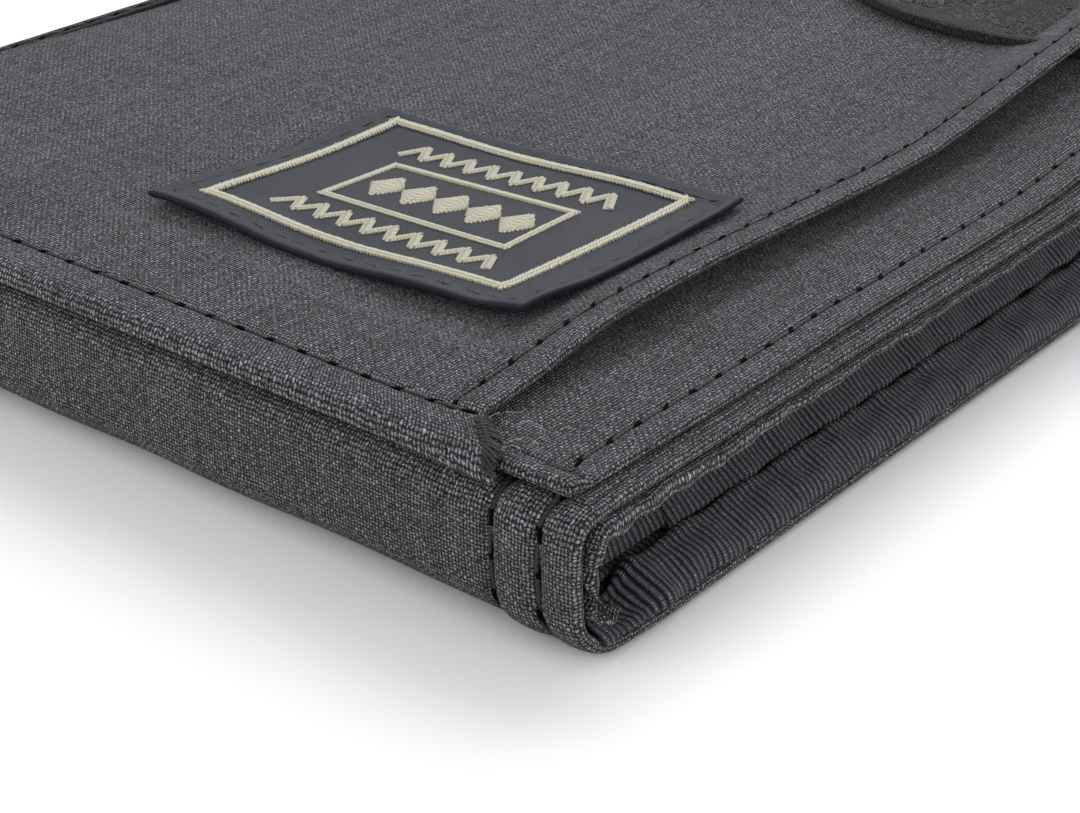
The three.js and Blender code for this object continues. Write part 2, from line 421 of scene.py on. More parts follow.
def waviness(x, y, size, seed):
    """Smooth unevenness from a few fixed waves, about -1 to 1."""
    total = np.zeros(np.broadcast(x, y).shape)
    draw = np.random.default_rng(seed)
    for _ in range(5):
        angle = draw.uniform(0, math.pi)
        phase = draw.uniform(0, 2 * math.pi)
        stretch = draw.uniform(0.7, 1.5) / size
        total = total + np.sin(2 * math.pi * stretch * (x * math.cos(angle) + y * math.sin(angle)) + phase)
    return total / 3.2


def ease(value, start, end):
    t = np.clip((value - start) / (end - start), 0, 1)
    return t * t * (3 - 2 * t)


# %% [markdown]
# ## Woven canvas
# Plain weave: threads pass over and under each other like a chessboard. The height of the top
# thread is worked out from the UV in millimetres: a rounded ridge across the thread, highest
# in the middle of each cell. The same height drives the bump and the colour: the valleys
# between threads are painted dark as painted shade, and the thread tops pale as painted
# highlight. Each thread gets its own random tone, and pale specks on the thread tops are
# partly pale fibre and partly painted glint.


# %% Node helpers
def add_bump(tree, shader, height, distance):
    """Tilts the shading by a height, whose full value stands for a distance in millimetres."""
    bump_node = tree.nodes.new("ShaderNodeBump")
    bump_node.inputs["Strength"].default_value = 1.0
    bump_node.inputs["Distance"].default_value = distance * MM
    tree.links.new(height, bump_node.inputs["Height"])
    tree.links.new(bump_node.outputs[0], shader.inputs["Normal"])


def new_material(name):
    material = bpy.data.materials.new(name)
    material.use_nodes = True
    return material, material.node_tree, material.node_tree.nodes["Principled BSDF"]


def math_node(tree, kind, a, b=None, c=None):
    node = tree.nodes.new("ShaderNodeMath")
    node.operation = kind
    for slot_index, value in enumerate((a, b, c)):
        if value is None:
            continue
        if isinstance(value, (int, float)):
            node.inputs[slot_index].default_value = value
        else:
            tree.links.new(value, node.inputs[slot_index])
    return node.outputs[0]


def mix_value(tree, factor, a, b):
    node = tree.nodes.new("ShaderNodeMix")
    node.data_type = "FLOAT"
    for socket, value in ((node.inputs[0], factor), (node.inputs[2], a), (node.inputs[3], b)):
        if isinstance(value, (int, float)):
            socket.default_value = value
        else:
            tree.links.new(value, socket)
    return node.outputs[0]


def mix_colour(tree, factor, a, b, mode="MIX"):
    node = tree.nodes.new("ShaderNodeMix")
    node.data_type = "RGBA"
    node.blend_type = mode
    for socket, value in ((node.inputs[0], factor), (node.inputs[6], a), (node.inputs[7], b)):
        if isinstance(value, (int, float)):
            socket.default_value = value
        elif isinstance(value, tuple):
            socket.default_value = (*value, 1)
        else:
            tree.links.new(value, socket)
    return node.outputs[2]


def cloth_uv(tree):
    node = tree.nodes.new("ShaderNodeUVMap")
    node.uv_map = "cloth_mm"
    split = tree.nodes.new("ShaderNodeSeparateXYZ")
    tree.links.new(node.outputs[0], split.inputs[0])
    return node.outputs[0], split.outputs[0], split.outputs[1]


def noise(tree, vector, scale, detail=2.0, roughness=0.5, stretch=None):
    if stretch is not None:
        mapping = tree.nodes.new("ShaderNodeMapping")
        mapping.inputs["Scale"].default_value = stretch
        tree.links.new(vector, mapping.inputs["Vector"])
        vector = mapping.outputs[0]
    node = tree.nodes.new("ShaderNodeTexNoise")
    node.inputs["Scale"].default_value = scale
    node.inputs["Detail"].default_value = detail
    node.inputs["Roughness"].default_value = roughness
    tree.links.new(vector, node.inputs["Vector"])
    return node.outputs[0]


def thread_shade(tree, index, seed):
    node = tree.nodes.new("ShaderNodeTexWhiteNoise")
    node.noise_dimensions = "1D"
    tree.links.new(math_node(tree, "ADD", index, seed), node.inputs["W"])
    return node.outputs[0]


def ramp(tree, value, stops):
    node = tree.nodes.new("ShaderNodeValToRGB")
    tree.links.new(value, node.inputs[0])
    band = node.color_ramp
    while len(band.elements) < len(stops):
        band.elements.new(0.5)
    for element, (position, colour) in zip(band.elements, stops):
        element.position = position
        element.color = (*colour, 1)
    return node.outputs[0]


# %% Canvas
def canvas_material(name, thread, dark, pale, fleck=0.55, sheen=0.05, bump=0.15):
    """Plain-weave canvas. thread is the spacing of its threads in millimetres."""
    material, tree, shader = new_material(name)
    uv, u, v = cloth_uv(tree)
    drift_u = math_node(tree, "MULTIPLY_ADD", noise(tree, uv, 2.9, 3.0, 0.75), 1.8,
                        math_node(tree, "MULTIPLY", noise(tree, uv, 0.35, 3.0), 1.1))
    drift_v = math_node(tree, "MULTIPLY_ADD", noise(tree, uv, 2.7, 3.0, 0.75), 1.8,
                        math_node(tree, "MULTIPLY", noise(tree, uv, 0.31, 3.0), 1.1))
    a = math_node(tree, "ADD", math_node(tree, "DIVIDE", u, thread), drift_u)
    b = math_node(tree, "ADD", math_node(tree, "DIVIDE", v, thread * 0.93), drift_v)
    ridge_a = math_node(tree, "ABSOLUTE", math_node(tree, "SINE", math_node(tree, "MULTIPLY", a, math.pi)))
    ridge_b = math_node(tree, "ABSOLUTE", math_node(tree, "SINE", math_node(tree, "MULTIPLY", b, math.pi)))
    index_a = math_node(tree, "FLOOR", a)
    index_b = math_node(tree, "FLOOR", b)
    over = math_node(tree, "PINGPONG", math_node(tree, "ADD", index_a, index_b), 1.0)
    warp = math_node(tree, "MULTIPLY", math_node(tree, "POWER", ridge_a, 1.0),
                     math_node(tree, "MULTIPLY_ADD", ridge_b, 0.6, 0.4))
    weft = math_node(tree, "MULTIPLY", math_node(tree, "POWER", ridge_b, 1.0),
                     math_node(tree, "MULTIPLY_ADD", ridge_a, 0.6, 0.4))
    top = mix_value(tree, over, warp, weft)
    cell = tree.nodes.new("ShaderNodeTexWhiteNoise")
    cell.noise_dimensions = "2D"
    cell_place = tree.nodes.new("ShaderNodeCombineXYZ")
    tree.links.new(index_a, cell_place.inputs[0])
    tree.links.new(index_b, cell_place.inputs[1])
    tree.links.new(cell_place.outputs[0], cell.inputs["Vector"])
    shade = mix_value(tree, over, thread_shade(tree, index_a, 3.1), thread_shade(tree, index_b, 7.7))
    shade = mix_value(tree, 0.6, shade, cell.outputs[0])
    fibre_a = noise(tree, uv, 11.0, 4.0, 0.8, (1.0, 0.4, 1.0))
    fibre_b = noise(tree, uv, 11.0, 4.0, 0.8, (0.4, 1.0, 1.0))
    fibre = mix_value(tree, over, fibre_a, fibre_b)
    cloud = noise(tree, uv, 0.045, 4.0, 0.55)
    # Painted shade and highlight: the colour follows the thread height, so the valleys between threads come
    # out dark and the thread tops pale.
    tone = math_node(tree, "MULTIPLY", top, math_node(tree, "MULTIPLY_ADD", shade, 0.7, 0.55))
    tone = math_node(tree, "MULTIPLY", tone, mix_value(tree, over, 1.0, 0.74))
    tone = math_node(tree, "MULTIPLY", tone, math_node(tree, "MULTIPLY_ADD", fibre, 4.4, -1.32))
    colour = ramp(tree, tone, [(0.19, dark), (0.5, tuple(0.67 * d + 0.33 * p for d, p in zip(dark, pale))),
                               (1.0, pale)])
    # Pale specks on the thread tops: partly pale fibre, partly painted glint.
    fleck_noise = noise(tree, uv, 3.6, 2.0, 0.8, (1.0, 1.35, 1.0))
    flecks_and_glints = math_node(tree, "GREATER_THAN", math_node(tree, "MULTIPLY", fleck_noise, top), fleck)
    fleck_and_glint_colour = tuple(min(1.0, 1.5 * p + 0.02) for p in pale)
    colour = mix_colour(tree, math_node(tree, "MULTIPLY", flecks_and_glints, 0.4), colour, fleck_and_glint_colour)
    colour = mix_colour(tree, 0.35, colour,
                        ramp(tree, cloud, [(0.3, (0.62, 0.62, 0.63)), (0.7, (1.0, 1.0, 1.0))]), "MULTIPLY")
    tree.links.new(colour, shader.inputs["Base Color"])
    tree.links.new(math_node(tree, "MULTIPLY_ADD", fibre, 0.25, 0.66), shader.inputs["Roughness"])
    shader.inputs["Sheen Weight"].default_value = sheen
    shader.inputs["Sheen Roughness"].default_value = 0.45
    shader.inputs["Specular IOR Level"].default_value = 0.12
    height = math_node(tree, "ADD", top, math_node(tree, "MULTIPLY", fibre, 0.35))
    add_bump(tree, shader, height, bump)
    return material


THREAD_SPACING = 0.29
canvas = canvas_material("charcoal_canvas", THREAD_SPACING, (0.003, 0.0032, 0.0045), (0.34, 0.348, 0.363))


# %% [markdown]
# ## Ribbed lining
# Grosgrain: fine ribs that run from the mouth inwards, with a soft silky gleam along each
# one: a low sheen in the shader and painted glints on the rib tops. The ribs are a rounded
# wave across v, the fine weave a faster wave along u; the colour follows the rib height, so
# the grooves between ribs carry painted shade.

# %% Ribbed lining
def ribbed_material(name, pitch, dark, pale, bump=0.2):
    material, tree, shader = new_material(name)
    uv, u, v = cloth_uv(tree)
    drift = math_node(tree, "MULTIPLY", noise(tree, uv, 0.5, 2.0), 0.55)
    phase = math_node(tree, "ADD", math_node(tree, "DIVIDE", v, pitch), drift)
    rib = math_node(tree, "POWER", math_node(tree, "ABSOLUTE", math_node(
        tree, "SINE", math_node(tree, "MULTIPLY", phase, math.pi))), 1.1)
    index = math_node(tree, "FLOOR", phase)
    thread = math_node(tree, "ADD", math_node(tree, "DIVIDE", u, 0.17), math_node(
        tree, "MULTIPLY", thread_shade(tree, index, 2.0), 3.0))
    fine = math_node(tree, "ABSOLUTE", math_node(tree, "SINE", math_node(tree, "MULTIPLY", thread, math.pi)))
    fibre = noise(tree, uv, 10.0, 4.0, 0.8, (0.6, 1.0, 1.0))
    height = math_node(tree, "MULTIPLY", rib, math_node(tree, "MULTIPLY_ADD", fine, 0.35, 0.65))
    # Painted shade: the colour follows the rib height, dark in the grooves between ribs.
    tone = math_node(tree, "MULTIPLY", height, math_node(tree, "MULTIPLY_ADD", fibre, 3.6, -0.95))
    middle = tuple(0.75 * d + 0.25 * p for d, p in zip(dark, pale))
    colour = ramp(tree, tone, [(0.2, dark), (0.55, middle), (1.0, pale)])
    # Painted glints: pale marks on the rib tops stand for highlights.
    glint_noise = noise(tree, uv, 5.0, 2.0, 0.8)
    glint = math_node(tree, "GREATER_THAN", math_node(tree, "MULTIPLY", glint_noise, rib), 0.6)
    colour = mix_colour(tree, math_node(tree, "MULTIPLY", glint, 0.6), colour,
                        tuple(min(1.0, 2.2 * p + 0.03) for p in pale))
    tree.links.new(colour, shader.inputs["Base Color"])
    shader.inputs["Roughness"].default_value = 0.5
    shader.inputs["Sheen Weight"].default_value = 0.06
    shader.inputs["Sheen Roughness"].default_value = 0.35
    shader.inputs["Specular IOR Level"].default_value = 0.15
    add_bump(tree, shader, math_node(tree, "ADD", height, math_node(tree, "MULTIPLY", fibre, 0.2)), bump)
    return material


RIB_PITCH = 0.56
ribbed = ribbed_material("ribbed_lining", RIB_PITCH, (0.004, 0.0042, 0.0055), (0.125, 0.128, 0.142))
binding_tape = canvas_material("binding_tape", 0.24, (0.003, 0.003, 0.004), (0.11, 0.112, 0.12), 0.62)
print("materials:", [m.name for m in bpy.data.materials if m.users])

# %% [markdown]
# ## The outer canvas
# One length of canvas wraps the back, turns up round the near fold and becomes the cover.
# It is made as one sheet, so that the folded hem at the mouth runs unbroken round the corner
# as on the real wallet, and it bends where the joint is. Two rows of stitches hold the hem.

# %% Outer canvas
def resting(place, floor_gap=0.02):
    """The same surface, flattened wherever it would sink into the table."""
    def rested(x, s, lift):
        points = place(x, s, lift)
        points[..., 2] = np.maximum(points[..., 2], floor_gap)
        return points

    rested.length = place.length
    return rested


SHELL = 1.0
COVER_SHELL_MIDDLE = 10.04
BACK_MIDDLE = SHELL / 2
fold_path = ([(BACK_END, BACK_MIDDLE), (3.2, BACK_MIDDLE)]
             + bend((2.6, BACK_MIDDLE + 3.0), (3.5, 3.0), 262, 190, 9)
             + bend((1.05, 8.35), (1.75, 1.5), 178, 92, 9))
cover_ys = np.concatenate([np.linspace(3, DEPTH - RISE_LENGTH, 8),
                           np.linspace(DEPTH - RISE_LENGTH + 3, DEPTH, 14)])
fold_path += [(y, COVER_SHELL_MIDDLE + float(rise(y))) for y in cover_ys]
outer_place = resting(sheet_surface(fold_path, 1))
fold_s = frontmost(fold_path)
print("outer canvas cut length", round(outer_place.length, 1), "fold at", round(fold_s, 1))


def shell_mouth(s):
    """The mouth edge: the back stands out a little further than the cover."""
    back_edge = MOUTH_OVERHANG - 0.05
    cover_edge = 0.55
    return back_edge + (cover_edge - back_edge) * ease(s, fold_s - 9, fold_s + 5)


HEM_ROWS = (3.1, 7.0)
seam_s = np.arange(3.0, fold_s + 12.0, 0.2)
hem_lines = [seam_line(outer_place, shell_mouth(seam_s) - inset, seam_s, 0.5) for inset in HEM_ROWS]


def shell_relief(x, s):
    inset = shell_mouth(s) - x
    hem = 0.22 * ease(inset, 7.4, 6.6) * (1 - 0.35 * ease(inset, 2.2, 0.0))
    rows = sum(seam_relief(inset - row, np.interp(s, seam_s, line[2]), depth=0.32)
               for row, line in zip(HEM_ROWS, hem_lines))
    puff = 0.16 * np.exp(-((inset - 5.0) / 1.4) ** 2) + 0.14 * np.exp(-((inset - 1.3) / 1.0) ** 2)
    on_fold = np.exp(-((s - fold_s) / 9.0) ** 2)
    wave = 0.16 * waviness(x, s, 26, 4) * on_fold
    height = hem + rows + puff * (0.4 + 0.6 * on_fold) + wave
    above_table = ease(s, fold_s - 6.5, fold_s - 3)
    return height * above_table + np.minimum(height, 0) * (1 - above_table)


outer = make_sheet("outer_canvas", outer_place, (PANEL_START_X - 0.9, MOUTH_OVERHANG), 0.8, canvas,
                   relief=shell_relief, x_step=1.6, x_zones=[(-9, MOUTH_OVERHANG, 0.3)], s_step=1.5,
                   s_zones=[(fold_s - 11, fold_s + 11, 0.42), (fold_s + 11, outer_place.length, 1.0)],
                   mouth=shell_mouth)
cross_near_fold(outer, 1.2, 9.6, "canvas", "back_shell", "near_fold_shell", "cover_shell")

# %% [markdown]
# ## The facing inside the mouth
# Under the cover's edge a second canvas layer is turned in. It follows the inside of the near
# fold, where there is too much of it for the tight curve, so it crumples into small pleats.

# %% Mouth facing
FACING = 0.62
COVER_FACING_MIDDLE = 9.1
BACK_FACING_MIDDLE = 1.55
facing_path = ([(6.0, BACK_FACING_MIDDLE), (3.6, BACK_FACING_MIDDLE)]
               + bend((3.2, BACK_FACING_MIDDLE + 2.3), (2.9, 2.3), 265, 190, 8)
               + bend((1.9, 7.3), (1.55, 1.9), 178, 95, 8))
facing_path += [(y, COVER_FACING_MIDDLE + float(rise(y)))
                for y in np.concatenate([np.linspace(3.5, 58, 7), np.linspace(62, DEPTH - 0.3, 12)])]
facing_place = sheet_surface(facing_path, 1)
facing_fold_s = frontmost(facing_path)


def facing_mouth(s):
    on_fold = np.exp(-((s - facing_fold_s - 1.0) / 4.6) ** 2)
    return 0.9 + 0.1 * on_fold + 0.2 * waviness(s, s * 0, 5, 11) - 1.2 * ease(s, facing_fold_s - 1.5, 0)


def facing_relief(x, s):
    on_fold = np.exp(-((s - facing_fold_s) / 5.0) ** 2)
    pleats = 0.34 * np.sin(2 * math.pi * (s + 0.5 * x) / 2.1) * on_fold * ease(x, -6, 0)
    crumple = 0.13 * waviness(x, s, 2.4, 16) * ease(s, facing_fold_s + 34, facing_fold_s + 8)
    return pleats + crumple + 0.1 * waviness(x, s, 5, 6)


def facing_inside(x, s):
    """The facing's own edge is turned under: thickest beside the fold."""
    turned = 0.75 * ease(x, -3.4, -2.6) * ease(s, facing_fold_s + 40, facing_fold_s + 6)
    return -0.8 * facing_relief(x, s) - turned * ease(s, facing_fold_s + 1, facing_fold_s + 5)


facing = make_sheet("mouth_facing", facing_place, (-7.6, 0.9), FACING, canvas, relief=facing_relief,
                    inner_relief=facing_inside, x_step=0.45,
                    s_step=1.2, s_zones=[(0, facing_fold_s + 12, 0.35)], mouth=facing_mouth, turn=(0.7, 0.4))
cross_near_fold(facing, 2.0, 8.9, "canvas", "cover_facing", "near_fold_facing")

# %% [markdown]
# ## Ribbed lining of the cover and the near fold
# Behind the facing the whole inside is lined with ribbed cloth, sewn to the facing's edge.

# %% Cover and fold lining
lining_path = ([(3.4, 1.75)] + bend((3.3, 3.9), (2.7, 2.15), 268, 190, 7)
               + bend((2.3, 6.9), (1.65, 1.9), 178, 95, 7))
lining_path += [(y, 8.72 + float(rise(y))) for y in np.linspace(4.0, DEPTH - 0.3, 22)]
lining_place = sheet_surface(lining_path, 1)
cover_lining = make_sheet("cover_lining_cloth", lining_place, (PANEL_START_X, -3.2), 0.35, ribbed,
                          relief=lambda x, s: 0.05 * waviness(x, s, 9, 21),
                          x_step=1.6, s_step=1.3, s_zones=[(0, 14, 0.5)])
cross_near_fold(cover_lining, 2.2, 8.4, "ribbed_lining", "cover_lining", "near_fold_lining")

# %% [markdown]
# ## The slip pocket
# A single pocket lies on the cover, open towards the mouth. Its back is a canvas panel with a
# thin turned hem under the edge; its front is a second panel, set back by a finger's width,
# that gapes a little because the cloth is cut fuller than the back. The front's corner at the
# fold is pulled in by the tack that holds it.

# %% Pocket back and hem
POCKET_BACK = 0.5


def flat_path(start_y, end_y, level):
    ys = np.concatenate([np.linspace(start_y, DEPTH - RISE_LENGTH, 10),
                         np.linspace(DEPTH - RISE_LENGTH + 2, end_y, 16)])
    return [(y, level + float(rise(y))) for y in ys]


BACK_ROW = 2.6
back_row_s = np.arange(2.6, DEPTH - 1.0, 0.2)


def pocket_back_relief(x, s):
    inset = -0.9 - x
    near = ease(s, 4.5, 0.0)
    row = seam_relief(inset - BACK_ROW, np.interp(s, back_row_s, back_row[2]))
    hem = 0.12 * ease(inset, 3.0, 2.4)
    end_fold = 0.5 * np.exp(-((s - 0.85) / 0.85) ** 4) - 0.4 * np.exp(-((s - 2.1) / 0.35) ** 2)
    end_fold = end_fold * (1 - 0.6 * ease(inset, 1.0, 0))
    tack = -0.3 * np.exp(-((inset - 2.2) / 0.6) ** 2 - ((s - 2.6) / 1.2) ** 2)
    return row * ease(s, 1.2, 2.6) + hem + end_fold + tack + 0.08 * waviness(x, s, 14, 31) * (1 - near)


def pocket_back_mouth(s):
    return -0.9 + 0.10 * waviness(s, s * 0, 33, 5) - 0.35 * ease(s, 2.0, 0.0)


pocket_back_place = sheet_surface(flat_path(0.25, DEPTH, 11.25), 1)
back_row = seam_line(pocket_back_place, pocket_back_mouth(back_row_s) - BACK_ROW, back_row_s, 0.3)
pocket_back = make_sheet("pocket_back_cloth", pocket_back_place, (PANEL_START_X, -0.9), POCKET_BACK, canvas,
                         relief=pocket_back_relief, x_step=2.0, x_zones=[(-15, -0.9, 0.32)], s_step=0.7,
                         s_zones=[(0, 6, 0.3)], mouth=pocket_back_mouth, turn=(0.35, 0.2),
                         start=lambda x: 1.2 * ease(x, -9.5, -13.0))
attach(pocket_back, "cover", "canvas", "pocket_back")

hem_place = sheet_surface(flat_path(1.0, DEPTH - 0.2, 10.72), 1)
pocket_hem = make_sheet("pocket_back_hem_cloth", hem_place, (-5.0, -0.35), 0.26, canvas,
                        relief=lambda x, s: 0.05 * waviness(x, s, 8, 8), x_step=0.5, s_step=1.0,
                        mouth=lambda s: -0.35 + 0.14 * waviness(s, s * 0, 19, 3))
attach(pocket_hem, "cover", "canvas", "pocket_back_hem")

# %% Pocket front
POCKET_FRONT = 0.6
FRONT_EDGE = -10.8
ROW_FROM_FOLD = 4.5


def front_mouth(s):
    """The mouth edge, pulled out towards the cover's corner by the tack at the fold."""
    corner = 4.6 * ease(s, 6.0, 0.0) ** 1.3
    return FRONT_EDGE + corner - 0.55 * np.exp(-((s - 26) / 18.0) ** 2) + 0.5 * ease(s, 42, 62)


def front_gape(s):
    """How far the mouth edge stands off the pocket's back."""
    return 0.3 + 1.5 * ease(s, 5, 22) - 0.3 * ease(s, 32, 46) + 1.1 * ease(s, 52, 84)


MOUTH_ROW = 2.7
FRONT_ROLL = [(-0.5, 10.95), (-0.62, 11.2), (-0.55, 11.6), (-0.18, 11.9), (0.5, 12.0)]
front_place = sheet_surface(FRONT_ROLL + flat_path(1.5, DEPTH, 12.0), 1)
mouth_row_s = np.arange(4.6, DEPTH - 1.0, 0.2)
mouth_row = seam_line(front_place, front_mouth(mouth_row_s) - MOUTH_ROW, mouth_row_s, 0.38)
fold_row_x = np.arange(-10.9, PANEL_START_X + 2.5, -0.2)
fold_row = seam_line(front_place, fold_row_x, fold_row_x * 0 + ROW_FROM_FOLD, 0.38)


def front_relief(x, s):
    inset = front_mouth(s) - x
    lift = front_gape(s) * np.exp(-(np.clip(inset, 0, None) / 5.5) ** 2)
    hem = 0.16 * ease(inset, 3.1, 2.5) * ease(s, 2.0, 6.0)
    along_mouth = np.interp(s, mouth_row_s, mouth_row[2])
    along_fold = np.interp(-x, -fold_row_x, fold_row[2])
    mouth_seam = seam_relief(inset - MOUTH_ROW, along_mouth) * ease(s, 3.4, 5.0)
    fold_seam = seam_relief(s - ROW_FROM_FOLD, along_fold, width=0.55)
    fold_hem = 0.15 * ease(s, ROW_FROM_FOLD + 0.2, ROW_FROM_FOLD - 0.8)
    swell = 0.35 * waviness(x, s, 48, 12) * ease(s, 5, 20) * ease(inset, 6, 16)
    label_press = -0.25 * ease(x, -58, -54) * ease(x, -14, -18) * ease(s, 11, 15) * ease(s, 44, 40)
    end_drop = -0.5 * ease(x, PANEL_START_X + 4.0, PANEL_START_X)
    return lift + hem + mouth_seam + fold_seam + fold_hem + swell + label_press + end_drop


pocket_front = make_sheet("pocket_front_cloth", front_place, (PANEL_START_X, FRONT_EDGE),
                          POCKET_FRONT, canvas, relief=front_relief,
                          inner_relief=lambda x, s: front_gape(s) * np.exp(
                              -(np.clip(front_mouth(s) - x, 0, None) / 5.5) ** 2),
                          x_step=0.75, x_zones=[(-18, FRONT_EDGE, 0.32)], s_step=0.75,
                          s_zones=[(0, 6.5, 0.3)], mouth=front_mouth, turn=(0.1, 0.6))
attach(pocket_front, "cover", "canvas", "pocket_front")
print("pocket front quads", len(pocket_front.data.polygons))

# %% [markdown]
# ## Ribbed lip and bindings
# The back panel's mouth is finished with a lip of ribbed lining that slopes up to a stitched
# crease. Behind it stands the bound edge of the inner panel, the dark ribbed wall seen in the
# gap. Both are sections in the xz plane carried along y.


# %% Sections carried along y
def make_band(name, section, y_span, thickness, material, relief=None, lift=None, y_step=0.6,
              step=0.25, turn=(0.0, 0.0), fade=None):
    """A sheet whose middle line is a section in xz, carried along y. The UV's v runs along y."""
    marks, line = resample(section, step)
    slope = np.gradient(line, marks, axis=0)
    slope /= np.linalg.norm(slope, axis=1)[:, None]
    normal = np.stack([-slope[:, 1], slope[:, 0]], axis=1)
    radius = thickness / 2
    across = with_rims(marks, radius)
    along = with_rims(spaced(y_span[1] - y_span[0], y_step), radius)
    u, v = np.meshgrid(across, along, indexing="ij")
    y = y_span[0] + v
    share = rim_share(np.minimum(u, marks[-1] - u), radius) * rim_share(
        np.minimum(v, y_span[1] - y_span[0] - v), radius)
    bump = np.zeros_like(u) if relief is None else relief(u, y)
    raised = np.zeros_like(y) if lift is None else lift(y)
    scale = np.ones_like(y) if fade is None else fade(y)

    def offset(amount):
        x = np.interp(u, marks, line[:, 0]) + amount * np.interp(u, marks, normal[:, 0])
        z = np.interp(u, marks, line[:, 1]) + amount * np.interp(u, marks, normal[:, 1])
        return np.stack([x, y, section[0][1] + (z - section[0][1]) * scale + raised], -1)

    outside = offset(share * radius + bump)
    inside = offset(-share * radius + bump)
    uv_outside = np.stack([rim_arc(u, radius) + turn[0], y + turn[1]], -1)
    uv_inside = np.stack([-rim_arc(u, radius) + turn[0], y + turn[1]], -1)
    return write_mesh(name, outside, inside, uv_outside, uv_inside, material)


def lip_relief(u, y):
    pull = seam_relief(u - 3.64, y, depth=0.22, width=0.35, pitch=3.4)
    roll = 1.1 * np.exp(-((y - 3.6) / 2.0) ** 2) * ease(u, 0.2, 1.6) - 0.4 * np.exp(-((y - 7.0) / 1.0) ** 2)
    return pull + roll + 0.14 * waviness(u, y, 8, 17) * ease(u, 0.0, 1.2) + 0.12 * waviness(u, y, 3.1, 18)


lip_section = [(1.55, 1.15), (1.35, 1.75), (0.7, 2.25), (-0.3, 2.7), (-1.3, 3.0), (-1.75, 2.9),
               (-1.95, 2.4), (-2.0, 1.6)]
lip = make_band("back_lip_cloth", lip_section, (0.5, BACK_END - 0.5), 0.5, ribbed, relief=lip_relief,
                y_step=0.4, fade=lambda y: 0.85 + 0.15 * ease(y, 4.0, 9.0))
attach(lip, "back", "ribbed_lining", "back_lip")

wall_section = [(-8.4, 8.3), (-6.9, 8.3), (-6.2, 8.0), (-5.6, 7.3), (-4.7, 6.1), (-3.8, 5.1), (-2.95, 4.3),
                (-2.25, 3.75), (-1.85, 3.42), (-2.2, 3.22), (-3.6, 3.2), (-8.4, 3.2)]
inner_start = low_mm("inner_shell")[1]
wall = make_band("inner_mouth_binding_cloth", wall_section[::-1], (inner_start, BACK_END - 0.4), 0.4, ribbed,
                 relief=lambda u, y: 0.16 * waviness(u, y, 6, 41), lift=rise, y_step=0.6, turn=(5, 0))
attach(wall, "inner_panel", "ribbed_lining", "inner_mouth_binding")

tuck_section = [(-8.2, 8.4), (-6.8, 8.4), (-6.0, 8.0), (-5.4, 7.3),
                (-4.5, 6.1), (-3.6, 5.1), (-2.8, 4.2), (-2.4, 3.4)]
tuck = make_band("lining_tuck", tuck_section[::-1], (1.5, inner_start + 0.9), 0.35, ribbed,
                 relief=lambda u, y: 0.3 * waviness(u, y, 5, 43) * ease(u, 0, 2), y_step=0.4, turn=(3, 0))
attach(tuck, "inner_panel", "ribbed_lining")

# %% [markdown]
# ## Linings, dividers and card slots
# The hidden layers are plain sheets with rounded edges. A loop makes them: each takes its
# place and size from its piece in the frame.

# %% Hidden layers
hidden = {
    "back_lining": (ribbed, "back", "ribbed_lining"),
    "bill_divider": (ribbed, "back", "ribbed_lining"),
    "centre_slot_low": (canvas, "back", "canvas"),
    "centre_slot_high": (canvas, "back", "canvas"),
    "inner_slot": (canvas, "inner_panel", "canvas"),
    "inner_lining": (ribbed, "inner_panel", "ribbed_lining"),
    "inner_shell": (canvas, "inner_panel", "canvas"),
    "cover_slot": (canvas, "cover", "canvas"),
}
RISEN = ("inner_slot", "inner_lining", "inner_shell", "cover_slot")
NODE_THICKNESS = {"back_lining": 0.6, "bill_divider": 0.6, "inner_lining": 0.6, "inner_shell": 0.7}
for node, (cloth, body, slot_name) in hidden.items():
    low, high = low_mm(node), high_mm(node)
    thickness = NODE_THICKNESS.get(node, 0.5)
    middle = low[2] + thickness / 2
    ys = np.linspace(low[1] + 0.05, high[1] - 0.05, 24)
    lifted = rise(ys) if node in RISEN else ys * 0
    place = sheet_surface(list(zip(ys, middle + lifted)), 1)
    x_high = min(high[0], -6.6) if body == "inner_panel" else high[0]
    slot_row = (lambda x, s, edge=x_high: 0.5 * seam_relief(edge - x - 2.0, s, depth=0.12))
    sheet = make_sheet(node + "_cloth", place, (low[0], x_high), thickness - 0.04, cloth,
                       relief=slot_row if "slot" in node else None, x_step=1.6,
                       x_zones=[(x_high - 3, x_high, 0.5)], s_step=1.5)
    attach(sheet, body, slot_name, node)
print("hidden layers", len(hidden))

# %% Far fold and end bindings
far_low, far_high = low_mm("far_fold_shell"), high_mm("far_fold_shell")
far_top = float(low_mm("inner_shell")[2] + 0.35 + rise(BACK_END))


def fold_over(name, x_span, reach, low_level, high_level, thickness, material, node, seed):
    half = (high_level - low_level) / 2
    centre = (high_level + low_level) / 2
    turns = np.linspace(-math.pi / 2, math.pi / 2, 25)
    path = [(BACK_END + 0.25 + reach * math.cos(t) ** 0.6,
             centre + half * math.copysign(abs(math.sin(t)) ** 0.8, math.sin(t))) for t in turns]
    place = sheet_surface(path, -1)
    piece = make_sheet(name, place, x_span, thickness, material,
                       relief=lambda x, s: 0.07 * waviness(x, s, 15, seed), x_step=1.3, s_step=0.45)
    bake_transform(piece, "back", "inner_panel", start=frame_point(0, 0, low_level + 0.6),
             end=frame_point(0, 0, high_level - 0.6))
    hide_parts(node)
    return piece


fold_over("far_fold_canvas", (far_low[0], far_high[0]), far_high[1] - BACK_END - 0.6, BACK_MIDDLE,
          far_top, 0.65, canvas, "far_fold_shell", 51)
lining_low, lining_high = low_mm("far_fold_lining"), high_mm("far_fold_lining")
fold_over("far_fold_lining_cloth", (lining_low[0], lining_high[0]), lining_high[1] - BACK_END - 0.6,
          lining_low[2] + 0.3, lining_high[2] - 0.3, 0.5, ribbed, "far_fold_lining", 52)

